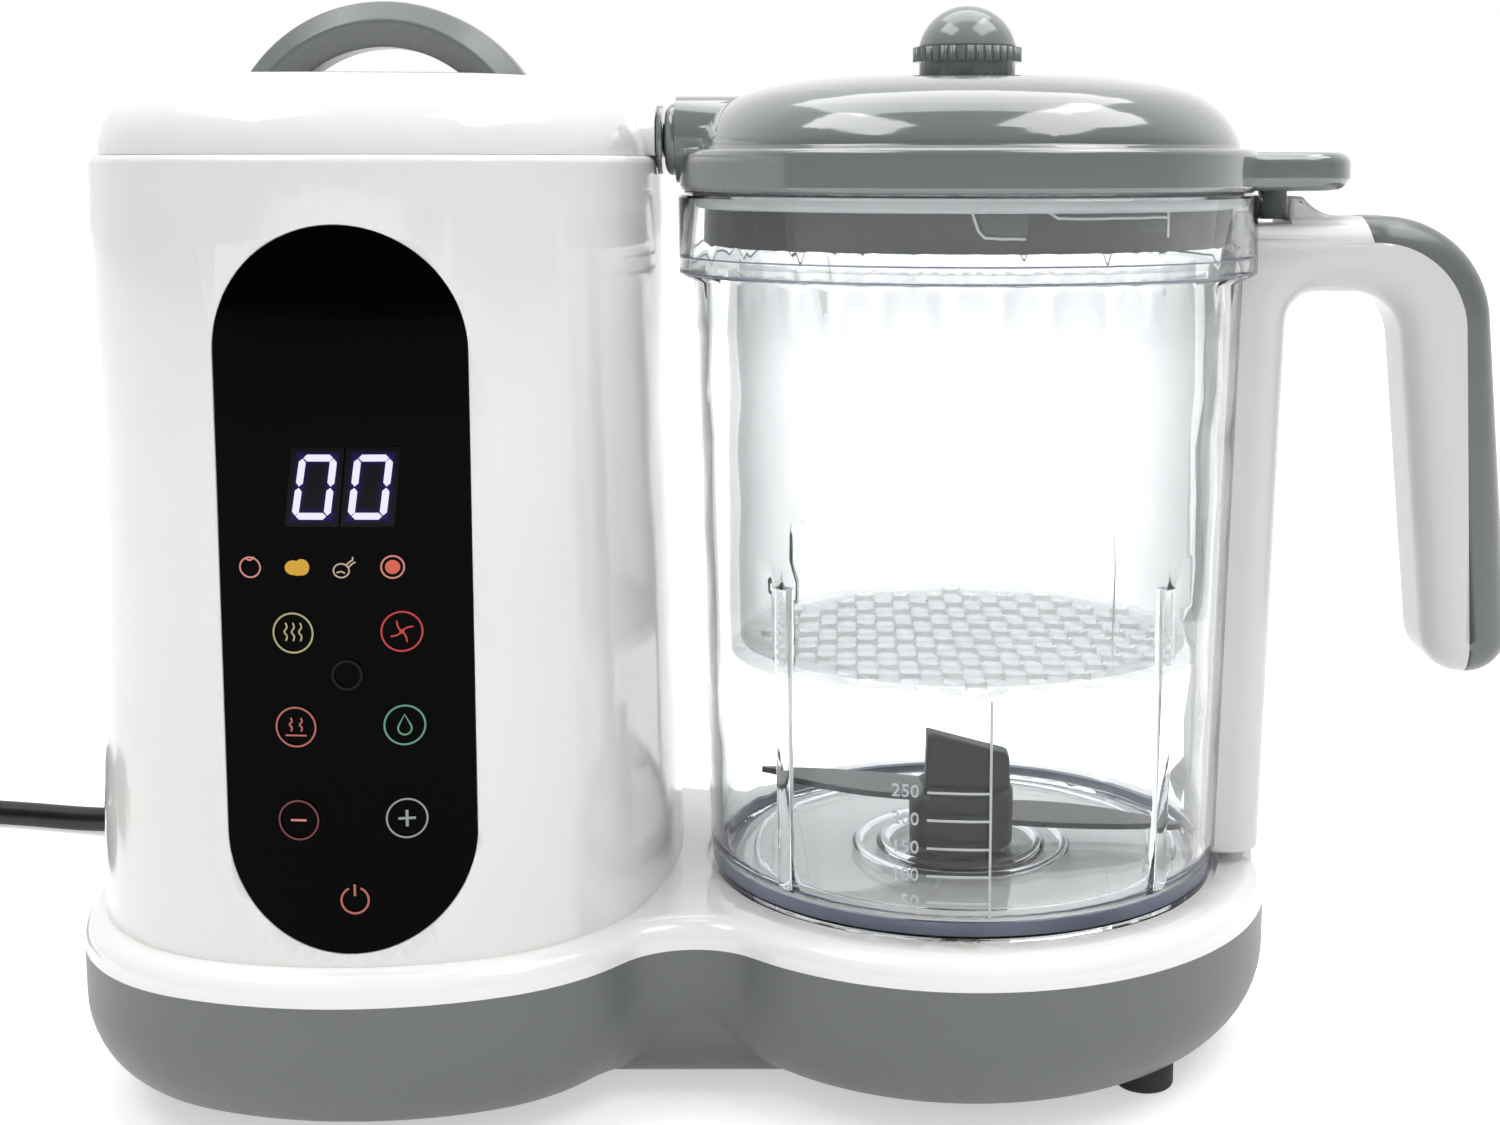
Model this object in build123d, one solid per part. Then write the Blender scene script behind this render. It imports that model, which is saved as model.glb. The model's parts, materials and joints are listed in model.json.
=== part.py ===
from build123d import *
import os
from math import atan, cos, pi, radians, sin, sqrt, tan

os.makedirs("parts", exist_ok=True)

# A free-standing steamer blender for baby food: a tower with the water tank, boiler and motor,
# and beside it a clear jug with a blade, a steaming basket and a lid.
# Millimetres. +Z up, the front looks along -Y, the tower stands on the -X side.
# Z is 0 on the surface that it stands on, and X is 0 half way along the whole object.

# Clearances
running_gap = 0.06
seat_gap = 0.05
slip_gap = 0.3
free_gap = 0.5
cut_over = 5.0

# Sizes of the jug, in heights from the deck
jug_height = 136.3
jug_collar_height = 15.3
jug_foot_radius = 52.0
jug_foot_step = 0.4
jug_widening = 2.6
jug_collar_step = 2.8
jug_wall = 2.5
jug_collar_wall = 2.2
jug_foot_height = 3.5
seat_depth = 1.5
jug_bottom_radius = jug_foot_radius + jug_foot_step
jug_top_radius = jug_bottom_radius + jug_widening
jug_collar_radius = jug_top_radius + jug_collar_step
jug_collar_bore = jug_collar_radius - jug_collar_wall
jug_body_height = jug_height - jug_collar_height

# Sizes of the jug's lid
lid_flange_inset = 0.3
lid_flange_thickness = 8.5
lid_dome_height = 13.6
lid_wall = 2.6
lid_skirt_gap = 2.6
lid_skirt_wall = 2.4
lid_skirt_above_ledge = 5.5
lid_boss_proud = 0.5
inlet_ring_length = 2.2
lid_flange_radius = jug_collar_radius - lid_flange_inset
lid_flange_bottom = jug_height + slip_gap
lid_flange_top = lid_flange_bottom + lid_flange_thickness
lid_top = lid_flange_top + lid_dome_height
lid_skirt_radius = jug_collar_bore - lid_skirt_gap
lid_skirt_bottom = jug_body_height + lid_skirt_above_ledge
lid_boss_reach = lid_flange_radius + lid_boss_proud
inlet_ring_reach = lid_boss_reach + inlet_ring_length

# Sizes of the base
foot_height = 3.0
base_height = 34.0
deck_edge_height = 5.75
lobe_half_length = 60.8
lobe_half_width = 69.6
lobe_front_radius = 84.0
lobe_side_radius = 130.0
lobe_corner_radius = 43.0
waist_radius = 16.5
base_bottom_rounding = 19.0
bridge_inset = 0.5
bridge_bottom_rounding = 11.0
deck_edge_rounding = 4.5
base_wall = 2.5
deck_wall = 3.0
seat_clearance = 1.2
switch_block_width = 6.1
jug_lobe_margin = 2.7
seat_radius = jug_foot_radius + seat_clearance
switch_block_inner = seat_radius + free_gap
switch_block_outer = switch_block_inner + switch_block_width
jug_lobe_radius = switch_block_outer + jug_lobe_margin

# Sizes of the tower, at the deck. Its top follows the steam nozzle, which follows the jug's lid
nozzle_rise = 1.9
tower_below_nozzle = 3.1
tower_set_in_length = 3.8
tower_set_in_width = 4.7
tower_front_ease = 2.0
tower_side_ease = 10.0
tower_draw_in = 3.5
tower_wall = 2.5
tower_shoulder_rounding = 1.6
tower_jug_gap = 1.0
nozzle_height = lid_flange_top + nozzle_rise
tower_height = nozzle_height - tower_below_nozzle
tower_half_length = lobe_half_length - tower_set_in_length
tower_half_width = lobe_half_width - tower_set_in_width
tower_front_radius = lobe_front_radius - tower_front_ease
tower_side_radius = lobe_side_radius - tower_side_ease
tower_corner_radius = lobe_corner_radius
axis_distance = tower_half_length + tower_jug_gap + lid_flange_radius

# Sizes of the tower's lid
lid_inset = 1.6
tank_lid_height = 14.7
tank_lid_edge_width = 17.0
tank_lid_wall = 2.2

base_bottom = foot_height
deck_top = foot_height + base_height
seam_z = deck_top - deck_edge_height
tower_top = deck_top + tower_height


# Plain shapes placed by their corners or ends
def block(x0, x1, y0, y1, z0, z1):
    return Pos((x0 + x1) / 2, (y0 + y1) / 2, (z0 + z1) / 2) * Box(x1 - x0, y1 - y0, z1 - z0)


def post(radius, z0, z1, x=0, y=0):
    return Pos(x, y, (z0 + z1) / 2) * Cylinder(radius, z1 - z0)


def tube(outer, inner, z0, z1, x=0, y=0):
    return post(outer, z0, z1, x, y) - post(inner, z0 - cut_over, z1 + cut_over, x, y)


def rod(radius, start, end):
    line = Line(start, end)
    plane = Plane(start, z_dir=Vector(*end) - Vector(*start))
    return extrude(plane * Circle(radius), line.length)


def cone(radius_start, radius_end, start, end):
    axis = Vector(*end) - Vector(*start)
    plane = Plane(start, z_dir=axis)
    return loft([plane * Circle(radius_start), plane.offset(axis.length) * Circle(radius_end)])


def turned(points):
    # A body of revolution about Z from its half outline in radius and height
    return revolve(Plane.XZ * make_face(Polyline(*points, close=True)), Axis.Z)


def stadium_y(half_width, low, high, y0, y1, x=0):
    # A bar with two round ends, upright, running along Y
    middle = Rectangle(2 * half_width, high - low - 2 * half_width)
    ends = Pos(0, (high - low) / 2 - half_width) * Circle(half_width)
    ends += Pos(0, -(high - low) / 2 + half_width) * Circle(half_width)
    plane = Plane((x, y1, (low + high) / 2), x_dir=(1, 0, 0), z_dir=(0, -1, 0))
    return extrude(plane * (middle + ends), y1 - y0)


def bent_tube(points, radii, outer, inner=0):
    # A tube of straight runs joined by arcs
    path = FilletPolyline(*points, radius=radii)
    plane = Plane(path @ 0, z_dir=path % 0)
    solid = sweep(plane * Circle(outer), path)
    if inner:
        solid -= sweep(plane * Circle(inner), path)
    return solid


bend_share = 0.45


def bend_radii(points, share=bend_share):
    # The largest arcs that the runs on either side of each point allow
    radii = []
    for before, here, after in zip(points, points[1:], points[2:]):
        run_in = Vector(*here) - Vector(*before)
        run_out = Vector(*after) - Vector(*here)
        turn = radians(run_in.get_angle(run_out))
        radii.append(share * min(run_in.length, run_out.length) / tan(turn / 2))
    return radii


# The rounded outline of the tower and of its lobe: wide arcs in front, behind and at the sides
def corner_centre(half_x, half_y, front, side, corner):
    front_centre = Vector(0, half_y - front)
    side_centre = Vector(half_x - side, 0)
    gap = side_centre - front_centre
    along = ((front - corner) ** 2 - (side - corner) ** 2 + gap.length ** 2) / (2 * gap.length)
    across = sqrt((front - corner) ** 2 - along ** 2)
    unit = gap.normalized()
    return front_centre + unit * along + Vector(unit.Y, -unit.X) * across


def arc_between(centre, radius, start, end):
    middle = ((start - centre) + (end - centre)).normalized()
    return ThreePointArc(start, centre + middle * radius, end)


def mirrored(point, x_sign, y_sign):
    return Vector(point.X * x_sign, point.Y * y_sign)


def touch_points(half_x, half_y, front, side, corner):
    centre = corner_centre(half_x, half_y, front, side, corner)
    front_centre = Vector(0, half_y - front)
    side_centre = Vector(half_x - side, 0)
    on_front = front_centre + (centre - front_centre).normalized() * front
    on_side = side_centre + (centre - side_centre).normalized() * side
    return centre, on_front, on_side


def rounded_outline(half_x, half_y, front, side, corner):
    centre, on_front, on_side = touch_points(half_x, half_y, front, side, corner)
    edges = []
    for y_sign in (1, -1):
        start = mirrored(on_front, -1, y_sign)
        edges.append(ThreePointArc(start, (0, half_y * y_sign), mirrored(on_front, 1, y_sign)))
    for x_sign in (1, -1):
        start = mirrored(on_side, x_sign, 1)
        edges.append(ThreePointArc(start, (half_x * x_sign, 0), mirrored(on_side, x_sign, -1)))
        for y_sign in (1, -1):
            ends = [mirrored(p, x_sign, y_sign) for p in (centre, on_front, on_side)]
            edges.append(arc_between(ends[0], corner, ends[1], ends[2]))
    return make_face(Wire(edges))


def tower_outline(height, inset=0):
    # The tower draws in evenly from the deck to its top
    grow = -inset - tower_draw_in * (height - deck_top) / tower_height
    sizes = (tower_half_length, tower_half_width, tower_front_radius, tower_side_radius,
             tower_corner_radius)
    return Pos(0, 0, height) * rounded_outline(*[size + grow for size in sizes])


def tower_solid(z0, z1, inset=0):
    return loft([tower_outline(z0, inset), tower_outline(z1, inset)], ruled=True)


# The outline of the base: the tower's lobe and the round lobe of the jug, with a drawn-in waist
def waist_centre():
    # The centre of the waist's arc, which touches the tower's lobe and the jug's
    jug_at = Vector(jug_x, 0)
    corner_at = Vector(tower_x, 0) + corner_centre(lobe_half_length, lobe_half_width, lobe_front_radius,
                                                   lobe_side_radius, lobe_corner_radius)
    gap = corner_at - jug_at
    to_jug = jug_lobe_radius + waist_radius
    to_corner = lobe_corner_radius + waist_radius
    along = (to_jug ** 2 - to_corner ** 2 + gap.length ** 2) / (2 * gap.length)
    across = sqrt(to_jug ** 2 - along ** 2)
    unit = gap.normalized()
    return jug_at + unit * along + Vector(unit.Y, -unit.X) * across


def base_outline(inset, height):
    lobe = (lobe_half_length - inset, lobe_half_width - inset, lobe_front_radius - inset,
            lobe_side_radius - inset, lobe_corner_radius - inset)
    corner = lobe_corner_radius - inset
    jug_radius = jug_lobe_radius - inset
    waist = waist_radius + inset
    centre, on_front, on_side = touch_points(*lobe)
    tower_at = Vector(tower_x, 0)
    jug_at = Vector(jug_x, 0)
    corner_at = tower_at + centre
    waist_at = waist_centre()
    waist_on_lobe = corner_at + (waist_at - corner_at).normalized() * corner
    waist_on_jug = jug_at + (waist_at - jug_at).normalized() * jug_radius
    edges = []
    for side in (1, -1):
        def flip(point):
            return mirrored(point, 1, side)
        left_front = tower_at + mirrored(on_front, -1, 1)
        left_side = tower_at + mirrored(on_side, -1, 1)
        left_corner = tower_at + mirrored(centre, -1, 1)
        edges.append(ThreePointArc(flip(left_front), flip(tower_at + Vector(0, lobe[1])),
                                   flip(tower_at + on_front)))
        edges.append(arc_between(flip(left_corner), corner, flip(left_front), flip(left_side)))
        edges.append(arc_between(flip(corner_at), corner, flip(tower_at + on_front),
                                 flip(waist_on_lobe)))
        edges.append(arc_between(flip(waist_at), waist, flip(waist_on_lobe), flip(waist_on_jug)))
    edges.append(ThreePointArc(tower_at + mirrored(on_side, -1, 1), tower_at - Vector(lobe[0], 0),
                               tower_at + mirrored(on_side, -1, -1)))
    edges.append(ThreePointArc(waist_on_jug, jug_at + Vector(jug_radius, 0),
                               mirrored(waist_on_jug, 1, -1)))
    return Pos(0, 0, height) * make_face(Wire(edges))


# The handle's side view, from the jug's axis outwards and up from the deck
handle_width = 24.0
handle_edge_rounding = 7.0
handle_top_drop = 4.3
handle_bottom = 39.3
grip_reach = 53.8
grip_lean = 8.9
grip_top_depth = 16.7
grip_bottom_depth = 17.7
grip_outer_bend = 22.0
grip_inner_bend = 10.0
grip_end_outer_rounding = 8.2
grip_end_inner_rounding = 8.6
arm_depth = 15.0
arm_root_bend = 6.0
spine_top_gap = 6.1
spine_bottom_gap = 8.8
spine_bottom = 2.8
spine_root_depth = 12.0
handle_top = jug_height - handle_top_drop
arm_underside = handle_top - arm_depth
grip_outer_bottom = jug_collar_radius + grip_reach
grip_outer_top = grip_outer_bottom - grip_lean
grip_inner_top = grip_outer_top - grip_top_depth
grip_inner_bottom = grip_outer_bottom - grip_bottom_depth
spine_top_reach = jug_collar_radius + spine_top_gap
spine_bottom_reach = jug_bottom_radius + spine_bottom_gap
spine_root = jug_foot_radius - spine_root_depth


def handle_side():
    # Closed outline of the spine, arm and grip, in distance from the jug's axis and height
    corners = [
        ((spine_root, spine_bottom), 0),
        ((spine_root, handle_top), 0),
        ((grip_outer_top, handle_top), grip_outer_bend),
        ((grip_outer_bottom, handle_bottom), grip_end_outer_rounding),
        ((grip_inner_bottom, handle_bottom), grip_end_inner_rounding),
        ((grip_inner_top, arm_underside), grip_inner_bend),
        ((spine_top_reach, arm_underside), arm_root_bend),
        ((spine_bottom_reach, spine_bottom), 0),
    ]
    return rounded_polygon(corners)


def rounded_polygon(corners):
    # A closed outline from corner points, each with the radius of its rounding
    face = make_face(Polyline(*[point for point, radius in corners], close=True))
    for point, radius in corners:
        if radius:
            corner = face.vertices().sort_by_distance((*point, 0))[0]
            face = fillet(corner, radius)
    return face


handle_face = handle_side()
handle_reach = handle_face.bounding_box().max.X
jug_x = (lobe_half_length + axis_distance - handle_reach) / 2
tower_x = jug_x - axis_distance
jug = Pos(jug_x, 0, 0)
jug_on_deck = Pos(jug_x, 0, deck_top)
tower = Pos(tower_x, 0, 0)


# Feet, screws and the lower shell
foot_radius = 5.8
foot_stem_radius = 2.5
foot_stem_height = 2.0
foot_seat_depth = 4.0
foot_boss_roof = 1.0
foot_boss_height = foot_seat_depth + foot_stem_height + foot_boss_roof
foot_boss_wall = 1.8
foot_edge_rounding = 1.0
jug_foot_shares = (0.55, 0.52)
tower_foot_shares = (0.56, 0.42)
foot_places = []
for side in (1, -1):
    foot_places.append((jug_x + jug_foot_shares[0] * jug_lobe_radius,
                        side * jug_foot_shares[1] * jug_lobe_radius))
    foot_places.append((tower_x - tower_foot_shares[0] * lobe_half_length,
                        side * tower_foot_shares[1] * lobe_half_width))

screw_head_radius = 2.8
screw_head_height = 1.8
screw_shank_radius = 1.4
screw_length = 12.0
screw_boss_radius = 4.5
screw_boss_height = 11.0
screw_recess_depth = 6.0
screw_tip = base_bottom + screw_recess_depth - screw_head_height + screw_length
jug_screw_share = 0.78
tower_screw_shares = (0.79, 0.82)
base_screw_places = [(jug_x, jug_screw_share * jug_lobe_radius),
                     (jug_x, -jug_screw_share * jug_lobe_radius),
                     (tower_x - tower_screw_shares[0] * lobe_half_length, 0),
                     (tower_x, tower_screw_shares[1] * lobe_half_width),
                     (tower_x, -tower_screw_shares[1] * lobe_half_width)]

# The lead leaves the shell behind the tower, a little towards its outer side
gland_normal_angle = 125.0
gland_below_seam = 8.25
gland_height = seam_z - gland_below_seam
gland_slope = atan(0.121)
gland_radius = 4.6
gland_flange_radius = 7.2
gland_flange_thickness = 2.4
gland_inside_length = 9.0
boot_length = 26.0
boot_root_radius = 6.0
boot_tip_radius = 4.2
lead_radius = 3.25

# Drive under the jug
shaft_radius = 4.0
pulley_radius = 32.0
small_pulley_radius = 8.0
pulley_flange = 1.6
pulley_flange_thickness = 1.2
belt_width = 6.0
belt_thickness = 1.8
belt_middle_drop = 16.5
belt_middle = deck_top - belt_middle_drop
pulley_web = 2.4
pulley_rim = 3.0
pulley_hub_radius = 9.0
bush_wall = 2.6
bush_below_pulley = 3.8
bush_floor = base_bottom + base_wall
lower_bush_top = belt_middle - belt_width / 2 - pulley_flange_thickness - bush_below_pulley
lower_bush_post_radius = 9.5
lip_depth = 3.0
lip_wall = 1.6

# The toothed coupling between the drive shaft and the jug's spindle, in a well of the deck
coupling_core_radius = 6.4
coupling_tooth_reach = 9.4
coupling_tooth_width = 4.0
coupling_teeth = 6
coupling_cup_radius = 13.0
coupling_floor = 2.0
coupling_cup_height = 5.6
driven_coupling_height = 4.0
coupling_below_jug = 0.9
jug_floor_drop = 1.0
well_gap = 4.0
well_wall = 2.5
well_radius = coupling_cup_radius + well_gap
well_depth = jug_floor_drop + coupling_below_jug + driven_coupling_height + coupling_floor + 2 * slip_gap
coupler_bottom = deck_top - well_depth + slip_gap
coupler_floor_top = coupler_bottom + coupling_floor

# Motor, standing on the deck inside the tower with its shaft down through it
motor_offset = 14.0
motor_x = tower_x + motor_offset
motor_shaft_radius = 2.5
motor_shaft_hole = 7.0
bracket_thickness = 3.0
bracket_radius = 31.0
motor_length = 64.0
motor_low = deck_top + bracket_thickness
motor_high = motor_low + motor_length

wire_opening_length = 18.0
wire_opening_width = 10.0
wire_opening_share = 0.55

# The safety switch that the jug's handle presses
switch_block_half_width = 7.0
switch_block_height = 2.5
switch_pin_radius = 1.5
switch_pin_margin = 1.7
switch_pin_reach = switch_block_inner + switch_pin_margin
switch_pin_length = 9.0
switch_pin_collar = 2.0
switch_pin_collar_height = 1.0
switch_skin = 0.4
switch_length = 13.0
switch_half_width = 4.0
switch_depth = 10.0
switch_cavity_depth = 7.2


def gland_line():
    # Where the lead passes the shell's outer wall, and the way it leaves
    angle = radians(gland_normal_angle)
    outward = Vector(cos(angle), sin(angle))
    centre = corner_centre(lobe_half_length, lobe_half_width, lobe_front_radius,
                           lobe_side_radius, lobe_corner_radius)
    at = Vector(tower_x - centre.X, centre.Y, gland_height) + outward * lobe_corner_radius
    way = Vector(outward.X * cos(gland_slope), outward.Y * cos(gland_slope), -sin(gland_slope))
    return at, way


def shell_form(inset):
    # The shell's rounded form, with a straight bridge between the lobes that is less rounded below
    bottom = base_bottom + inset
    form = extrude(base_outline(inset, bottom), seam_z - base_bottom)
    form = fillet(form.edges().group_by(Axis.Z)[0], base_bottom_rounding - inset)
    half = waist_centre().Y - waist_radius - bridge_inset - inset
    bridge = block(tower_x, jug_x, -half, half, bottom, seam_z)
    sides = bridge.edges().group_by(Axis.Z)[0].filter_by(Axis.X)
    return form + fillet(sides, bridge_bottom_rounding - inset)


def base_lower_shell():
    outer = shell_form(0)
    inner = shell_form(base_wall)
    posts = post(lower_bush_post_radius, base_bottom, lower_bush_top, jug_x, 0)
    for place in base_screw_places:
        posts += post(screw_boss_radius, base_bottom, base_bottom + screw_boss_height, *place)
    for place in power_post_places:
        posts += post(power_post_radius, base_bottom, power_board_z, *place)
    for place in foot_places:
        posts += post(foot_radius + foot_boss_wall, base_bottom, base_bottom + foot_boss_height, *place)
    shell = outer - inner + (posts & outer)
    for place in foot_places:
        shell -= post(foot_radius + seat_gap, base_bottom - cut_over, base_bottom + foot_seat_depth, *place)
        shell -= post(foot_stem_radius, base_bottom, base_bottom + foot_seat_depth + foot_stem_height, *place)
    for place in base_screw_places:
        shell -= post(screw_head_radius + slip_gap, base_bottom - cut_over,
                      base_bottom + screw_recess_depth, *place)
        shell -= post(screw_shank_radius + slip_gap, base_bottom, seam_z, *place)
    shell -= post(shaft_radius + bush_wall, bush_floor, seam_z, jug_x, 0)
    at, way = gland_line()
    shell -= rod(gland_radius, at - way * gland_flange_radius * 2, at + way * gland_flange_radius)
    return shell


def base_deck():
    outer = extrude(base_outline(0, seam_z), deck_top - seam_z)
    outer = fillet(outer.edges().group_by(Axis.Z)[-1], deck_edge_rounding)
    deck = outer - extrude(base_outline(base_wall, seam_z - cut_over),
                           deck_top - deck_wall - seam_z + cut_over)
    lip = extrude(base_outline(base_wall + seat_gap, seam_z - lip_depth),
                  deck_top - deck_wall - seam_z + lip_depth)
    lip -= extrude(base_outline(base_wall + seat_gap + lip_wall, seam_z - lip_depth - cut_over),
                   deck_top - seam_z + 2 * cut_over)
    deck += lip
    for place in base_screw_places:
        deck += post(screw_boss_radius, base_bottom + screw_boss_height, deck_top - deck_wall, *place)
        deck -= post(screw_shank_radius, base_bottom, screw_tip + seat_gap, *place)
    deck += post(well_radius + well_wall, deck_top - well_depth - well_wall, deck_top - deck_wall, jug_x, 0)
    deck -= post(well_radius, deck_top - well_depth, deck_top + cut_over, jug_x, 0)
    deck -= post(seat_radius, deck_top - seat_depth, deck_top + cut_over, jug_x, 0)
    deck -= post(shaft_radius + bush_wall, seam_z - deck_wall - well_depth, deck_top, jug_x, 0)
    deck -= post(motor_shaft_hole, seam_z, deck_top + cut_over, motor_x, 0)
    deck -= block(tower_x - wire_opening_share * tower_half_length - wire_opening_length / 2,
                  tower_x - wire_opening_share * tower_half_length + wire_opening_length / 2,
                  -wire_opening_width / 2, wire_opening_width / 2, seam_z, deck_top + cut_over)
    deck += block(jug_x + switch_block_inner, jug_x + switch_block_outer, -switch_block_half_width,
                  switch_block_half_width, deck_top - deck_wall, deck_top + switch_block_height)
    deck -= post(switch_pin_radius + running_gap, seam_z, deck_top + cut_over, jug_x + switch_pin_reach, 0)
    at, way = gland_line()
    deck -= rod(gland_radius + seat_gap, at - way * gland_flange_radius * 2, at)
    return deck


def base_screws():
    # Pan-head screws, pushed up from below into the deck's bosses
    head_top = base_bottom + screw_recess_depth
    screws = []
    for place in base_screw_places:
        head = post(screw_head_radius, head_top - screw_head_height, head_top, *place)
        head -= post(screw_shank_radius, head_top - 2 * screw_head_height,
                     head_top - screw_head_height / 2, *place)
        screws.append(head + post(screw_shank_radius, head_top - screw_head_height / 2, screw_tip, *place))
    return Compound(children=screws)


def rubber_feet():
    feet = []
    pad_top = foot_height + foot_seat_depth
    for place in foot_places:
        pad = post(foot_radius, 0, pad_top, *place)
        pad = fillet(pad.edges().group_by(Axis.Z)[0], foot_edge_rounding)
        feet.append(pad + post(foot_stem_radius, pad_top, pad_top + foot_stem_height, *place))
    return Compound(children=feet)


def belt_pulley(radius, bore, spoked):
    # A flanged belt pulley about Z, its belt's middle at height 0
    half = belt_width / 2
    edge = half + pulley_flange_thickness
    body = post(radius, -half, half)
    for side in (1, -1):
        body += post(radius + pulley_flange, *sorted((side * half, side * edge)))
    if spoked:
        body -= tube(radius - pulley_rim, pulley_hub_radius, pulley_web / 2, edge)
        body -= tube(radius - pulley_rim, pulley_hub_radius, -edge, -pulley_web / 2)
    return body - post(bore, -edge - cut_over, edge + cut_over)


def driven_pulley():
    return Pos(jug_x, 0, belt_middle) * belt_pulley(pulley_radius, shaft_radius, True)


def motor_pulley():
    return Pos(motor_x, 0, belt_middle) * belt_pulley(small_pulley_radius, motor_shaft_radius, False)


def belt_loop_face(grow):
    # Two round ends and the straight stretches that touch both
    small = small_pulley_radius + grow
    large = pulley_radius + grow
    span = jug_x - motor_x
    lean = (large - small) / span
    rise = sqrt(1 - lean * lean)
    corners = [(motor_x - small * lean, small * rise), (jug_x - large * lean, large * rise),
               (jug_x - large * lean, -large * rise), (motor_x - small * lean, -small * rise)]
    face = make_face(Polyline(*corners, close=True))
    return face + Pos(motor_x, 0) * Circle(small) + Pos(jug_x, 0) * Circle(large)


def drive_belt():
    band = belt_loop_face(slip_gap + belt_thickness) - belt_loop_face(slip_gap)
    return Pos(0, 0, belt_middle - belt_width / 2 + slip_gap) * extrude(band, belt_width - 2 * slip_gap)


def drive_bushes():
    lower = tube(shaft_radius + bush_wall, shaft_radius + running_gap, bush_floor,
                 lower_bush_top, jug_x, 0)
    upper = tube(shaft_radius + bush_wall, shaft_radius + running_gap,
                 deck_top - well_depth - well_wall, deck_top - well_depth, jug_x, 0)
    return Compound(children=[lower, upper])


def coupling_star(grow):
    star = Circle(coupling_core_radius + grow)
    for index in range(coupling_teeth // 2):
        turn = index * 360 / coupling_teeth
        star += Rot(0, 0, turn) * Rectangle(2 * (coupling_tooth_reach + grow),
                                            coupling_tooth_width + 2 * grow)
    return star


def drive_coupler():
    cup = post(coupling_cup_radius, coupler_bottom, coupler_bottom + coupling_cup_height)
    socket = Pos(0, 0, coupler_floor_top) * extrude(coupling_star(slip_gap), coupling_cup_height)
    return Pos(jug_x, 0, 0) * (cup - socket - post(shaft_radius, coupler_bottom - cut_over, coupler_floor_top))


def drive_shaft():
    return post(shaft_radius, bush_floor + seat_gap, coupler_floor_top, jug_x, 0)


def safety_switch():
    # A small switch body under the deck, hollow round the pin
    top = deck_top - deck_wall
    outer = switch_pin_collar + slip_gap + switch_skin
    body = block(outer - switch_length, outer, -switch_half_width, switch_half_width, top - switch_depth, top)
    body -= post(switch_pin_collar + slip_gap, deck_top - switch_cavity_depth, top + cut_over)
    return Pos(jug_x + switch_pin_reach, 0, 0) * body


def switch_pin():
    tip = deck_top + spine_bottom - seat_gap
    pin = post(switch_pin_radius, tip - switch_pin_length, tip)
    pin += post(switch_pin_collar, tip - switch_pin_length, tip - switch_pin_length + switch_pin_collar_height)
    return Pos(jug_x + switch_pin_reach, 0, 0) * pin


def cord_gland():
    # A sleeve through the shell, a flange outside it and a tapered boot round the lead
    at, way = gland_line()
    gland = rod(gland_radius, at - way * gland_inside_length, at)
    gland += rod(gland_flange_radius, at, at + way * gland_flange_thickness)
    gland += cone(boot_root_radius, boot_tip_radius, at + way * gland_flange_thickness, at + way * boot_length)
    return gland


# Tower shell, control panel and what stands behind it
panel_offset = 3.0
panel_half_width = 22.05
panel_top_drop = 12.0
panel_bottom_rise = 2.6
panel_proud = 0.3
panel_inset = 1.2
display_half_width = 14.5
display_low_share = 0.575
display_high_share = 0.69
board_set_back = 10.3
board_half_width = 21.0
board_thickness = 1.6
board_low = 12.0
board_top_drop = 17.9
board_post_radius = 2.6
board_post_share = 0.84
board_post_height_shares = (0.11, 0.86)
touch_pad_radius = 4.2
touch_pad_thickness = 1.0
touch_pad_share = 0.5
touch_pad_height_shares = (0.2, 0.33, 0.45)
ledge_width = 3.0
ledge_height = 2.0
panel_x = tower_x + panel_offset
display_low = deck_top + display_low_share * tower_height
display_high = deck_top + display_high_share * tower_height
board_high = tower_height - board_top_drop
board_front = board_set_back - tower_half_width
board_back = board_front + board_thickness

# Steam outlet at the top of the tower's inner side
nozzle_ring_radius = 6.9
nozzle_ring_thickness = 1.0
nozzle_tube_radius = 5.4
nozzle_bore_radius = 3.4
nozzle_arm_length = 10.8
nozzle_leg_length = 17.0
nozzle_face_reach = inlet_ring_reach + free_gap
nozzle_bend_reach = nozzle_face_reach + nozzle_arm_length
nozzle_foot_height = nozzle_height - nozzle_leg_length
nozzle_z = deck_top + nozzle_height
nozzle_face_x = jug_x - nozzle_face_reach
nozzle_bend_x = jug_x - nozzle_bend_reach

# Water tank and the bay that it drops into
tank_set_in_length = 21.0
tank_set_in_width = 21.9
tank_offset_x = -4.0
tank_offset_y = 2.0
tank_wall = 2.0
tank_rim_width = 3.0
tank_rim_thickness = 1.6
bay_wall = 2.0
bay_plate = 3.0
bay_floor_gap = 4.0
bay_above_motor = 17.85
tank_half_length = tower_half_length - tank_set_in_length
tank_half_width = tower_half_width - tank_set_in_width
tank_corner_radius = tower_corner_radius - tank_set_in_length
tank_x = tower_x + tank_offset_x
tank_y = tank_offset_y
bay_top = tower_top - seat_gap
tank_rim_top = bay_top - seat_gap
bay_floor_top = motor_high + bay_above_motor + bay_wall
tank_bottom = bay_floor_top + bay_floor_gap
dock_share = 0.45
dock_x = tank_x - dock_share * tank_half_length
dock_radius = 9.0
dock_wall = 1.6
dock_height = 3.2
dock_spout_radius = 2.5
dock_spout_length = 7.0
valve_radius = 6.6
valve_stem_radius = 4.0
valve_length = 3.4
spout_bore_radius = 1.5
hose_radius = 4.2
hose_overlap = 4.5


def rounded_prism(half_x, half_y, radius, z0, z1):
    return Pos(0, 0, z0) * extrude(RectangleRounded(2 * half_x, 2 * half_y, radius), z1 - z0)


def panel_prism(grow, y0, y1):
    return stadium_y(panel_half_width + grow, deck_top + panel_bottom_rise - grow,
                     tower_top - panel_top_drop + grow, y0, y1, panel_x)


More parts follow.
